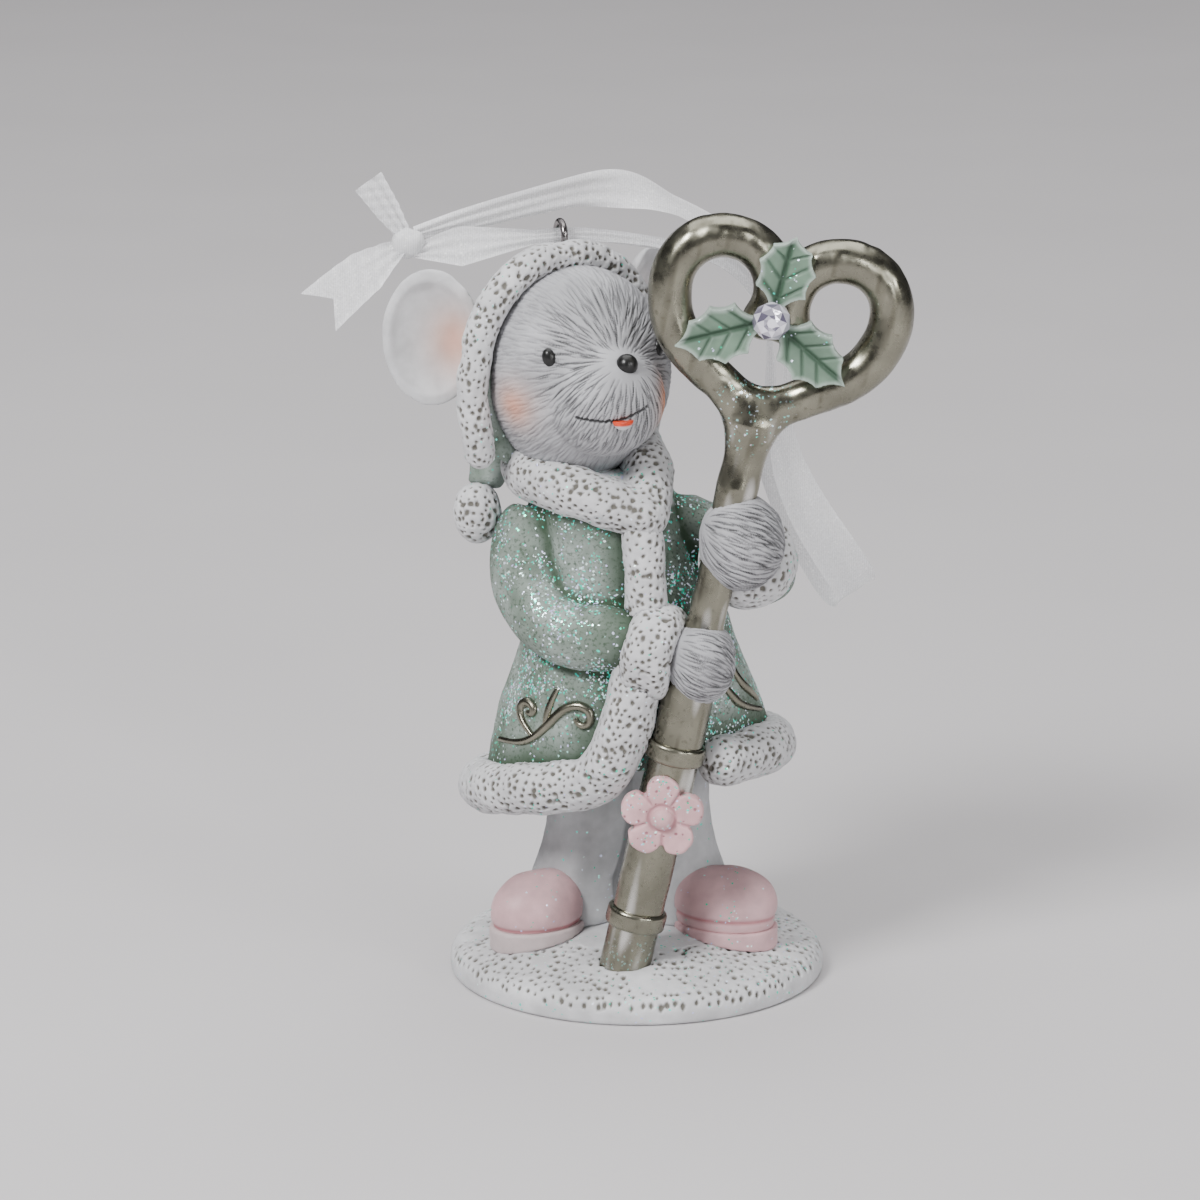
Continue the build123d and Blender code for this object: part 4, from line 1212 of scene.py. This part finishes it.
# The band's width, and the direction that it is wide in, by share of its length
LOOP_WIDTHS = (
    (0, GATHERED),
    (0.03, 3.0),
    (0.06, 3.6),
    (0.12, 4.4),
    (0.18, 6),
    (0.7, 6),
    (0.79, 3.2),
    (0.84, GATHERED),
    (0.92, GATHERED),
    (0.97, 5.2),
    (1, GATHERED),
)
LOOP_FACINGS = (
    (0, (0, -0.26, 0.97)),
    (0.11, (0, -0.26, 0.97)),
    (0.18, (0, 0.96, 0.25)),
    (0.24, (0.1, 1, 0.15)),
    (0.34, (0.25, 1, 0.1)),
    (0.42, (0.7, 0.6, 0.3)),
    (0.47, (0.85, 0.2, 0.5)),
    (0.53, (0.85, 0.2, 0.5)),
    (0.6, (0.7, 0.6, 0.3)),
    (0.7, (0.25, 1, 0.1)),
    (0.8, (0.1, 1, 0.3)),
    (0.88, (0, 0.5, 0.85)),
    (1, (0, 0.4, 0.9)),
)
TAIL_UP_WIDTHS = ((0, GATHERED), (0.5, 3.4), (1, 4.2))
TAIL_UP_FACINGS = ((0, (0.8, 0.5, 0.3)), (1, (0.9, 0.4, 0.2)))
TAIL_DOWN_WIDTHS = ((0, GATHERED), (0.45, 5.6), (1, 6.4))
TAIL_DOWN_FACINGS = ((0, (-0.3, 0.5, 0.8)), (1, (-0.45, 0.3, 0.85)))
TAIL_DOWN_NOTCH = 2.6


def spline(points):
    """Points along the smooth line that a ribbon follows."""
    mesh = nurbs("route", points, RIBBON_RESOLUTION)
    return np.array([tuple(v.co) for v in mesh.vertices])


def unit(ways):
    """Directions made one long."""
    return ways / np.linalg.norm(ways, axis=1)[:, None]


def band(name, path, widths, facings, notch=0.0):
    """A flat woven band along a path, pleated where it is narrow, with an end cut to a notch if asked."""
    steps = np.linalg.norm(np.diff(path, axis=0), axis=1)
    share = np.concatenate([[0], np.cumsum(steps)]) / steps.sum()
    ahead = unit(np.gradient(path, axis=0))
    marks, ways = zip(*facings)
    wide = np.stack([np.interp(share, marks, [way[k] for way in ways]) for k in range(3)], axis=1)
    wide = unit(wide - ahead * (wide * ahead).sum(axis=1)[:, None])
    up = np.cross(ahead, wide)
    width = np.interp(share, *zip(*widths))
    across = np.linspace(-0.5, 0.5, RIBBON_COLUMNS + 1)
    spots = path[:, None] + wide[:, None] * (width[:, None] * across)[..., None]
    gather = np.clip(1 - width / RIBBON_WIDTH, 0, 1)[:, None]
    ripple = PLEAT_DEPTH * gather * np.cos(across * 2 * PLEATS * math.pi)
    ripple = ripple + WAVE_DEPTH * np.sin(WAVE_ACROSS * across + WAVE_ALONG * share[:, None])
    spots = spots + up[:, None] * ripple[..., None]
    if notch:
        end = np.clip((share - NOTCH_START) / (1 - NOTCH_START), 0, 1)
        reach = notch * (2 * np.abs(across) - NOTCH_MIDDLE)
        spots = spots + ahead[:, None] * (end[:, None] * reach)[..., None]
    row = RIBBON_COLUMNS + 1
    corners = [r * row + c for r in range(len(path) - 1) for c in range(RIBBON_COLUMNS)]
    quads = [(corner, corner + 1, corner + row + 1, corner + row) for corner in corners]
    mesh = bpy.data.meshes.new(name)
    mesh.from_pydata(spots.reshape(-1, 3).tolist(), [], quads)
    made = linked(name, mesh)
    paint(made, "rim", np.tile(np.clip((np.abs(across) - SELVEDGE) / SELVEDGE_BLEND, 0, 1), len(path)))
    return made


loop_path = spline(ROUTE)
loop = band("ribbon_loop_organza", loop_path, LOOP_WIDTHS, LOOP_FACINGS)

# Knot with its folds, and the two tails
KNOT_STRETCH = (1, 1, 0.35)
KNOT_LUMPS = ((0.25, 0.9, 75),)
KNOT_SINK = 0.1
KNOT_EDGE = 0.7
knot = voxel_copy("ribbon_knot_organza", ["ribbon_knot"], FUR_VOXEL)
relax(knot, 6)
co = coords(knot)
swell(knot, uneven(co * KNOT_STRETCH, KNOT_LUMPS) - KNOT_SINK)
paint(knot, "rim", np.full(len(co), KNOT_EDGE))
tail_up = band("ribbon_tail_up_organza", spline(TAIL_UP), TAIL_UP_WIDTHS, TAIL_UP_FACINGS)
tail_down = band(
    "ribbon_tail_down_organza",
    spline(TAIL_DOWN),
    TAIL_DOWN_WIDTHS,
    TAIL_DOWN_FACINGS,
    TAIL_DOWN_NOTCH,
)
for piece, node in (
    (loop, "ribbon_loop"),
    (knot, "ribbon_knot"),
    (tail_up, "ribbon_tail_up"),
    (tail_down, "ribbon_tail_down"),
):
    hand_over(piece, HANGER, sheer, [node])

# Floor, only in pictures
FLOOR_SIZE = 6
FLOOR_PATCH = 60
bpy.ops.mesh.primitive_plane_add(size=FLOOR_SIZE)
floor = bpy.context.object
floor.name = "floor"
floor_paint = Shader("floor_pale", {"Roughness": 0.8})
floor_patches = floor_paint.ramp(floor_paint.lumps(FLOOR_PATCH), 0.3, 0.7)
floor_paint.colour(floor_paint.mix(floor_patches, FLOOR_PALE, shaded(FLOOR_PALE, 0.97)))
floor.data.materials.append(floor_paint.material)

# Light: place and size in metres, power in watts
LIGHTS = (
    ("key_light", (-0.42, -0.45, 0.60), (0.24, 0.24), 8.0),
    ("fill_light", (0.55, -0.45, 0.30), (0.20, 0.20), 1.6),
    ("strip_light", (0.26, -0.55, 0.25), (0.05, 0.40), 1.0),
    ("sky_light", (0.00, 0.30, 1.50), (1.60, 1.60), 26.0),
)
AIM = Vector((0, 0, 0.05))
ROOM_TINT = (0.92, 0.92, 0.95, 1)
ROOM_STRENGTH = 0.08
for name, spot, size, power in LIGHTS:
    lamp = bpy.data.lights.new(name, "AREA")
    lamp.shape = "RECTANGLE"
    lamp.size, lamp.size_y = size
    lamp.energy = power
    stand = linked(name, lamp)
    stand.location = spot
    stand.rotation_euler = (AIM - Vector(spot)).to_track_quat("-Z", "Y").to_euler()
world = bpy.data.worlds.new("studio")
world.use_nodes = True
world.node_tree.nodes["Background"].inputs["Color"].default_value = ROOM_TINT
world.node_tree.nodes["Background"].inputs["Strength"].default_value = ROOM_STRENGTH
bpy.context.scene.world = world

# Camera
camera = bpy.data.cameras.new("camera")
camera.lens = CAMERA_LENS
camera.sensor_width = CAMERA_SENSOR
camera.clip_start = CAMERA_CLIP
eye_point = linked("camera", camera)
eye_point.location = CAMERA_PLACE
eye_point.rotation_euler = (math.radians(CAMERA_PITCH), 0, 0)
bpy.context.scene.camera = eye_point
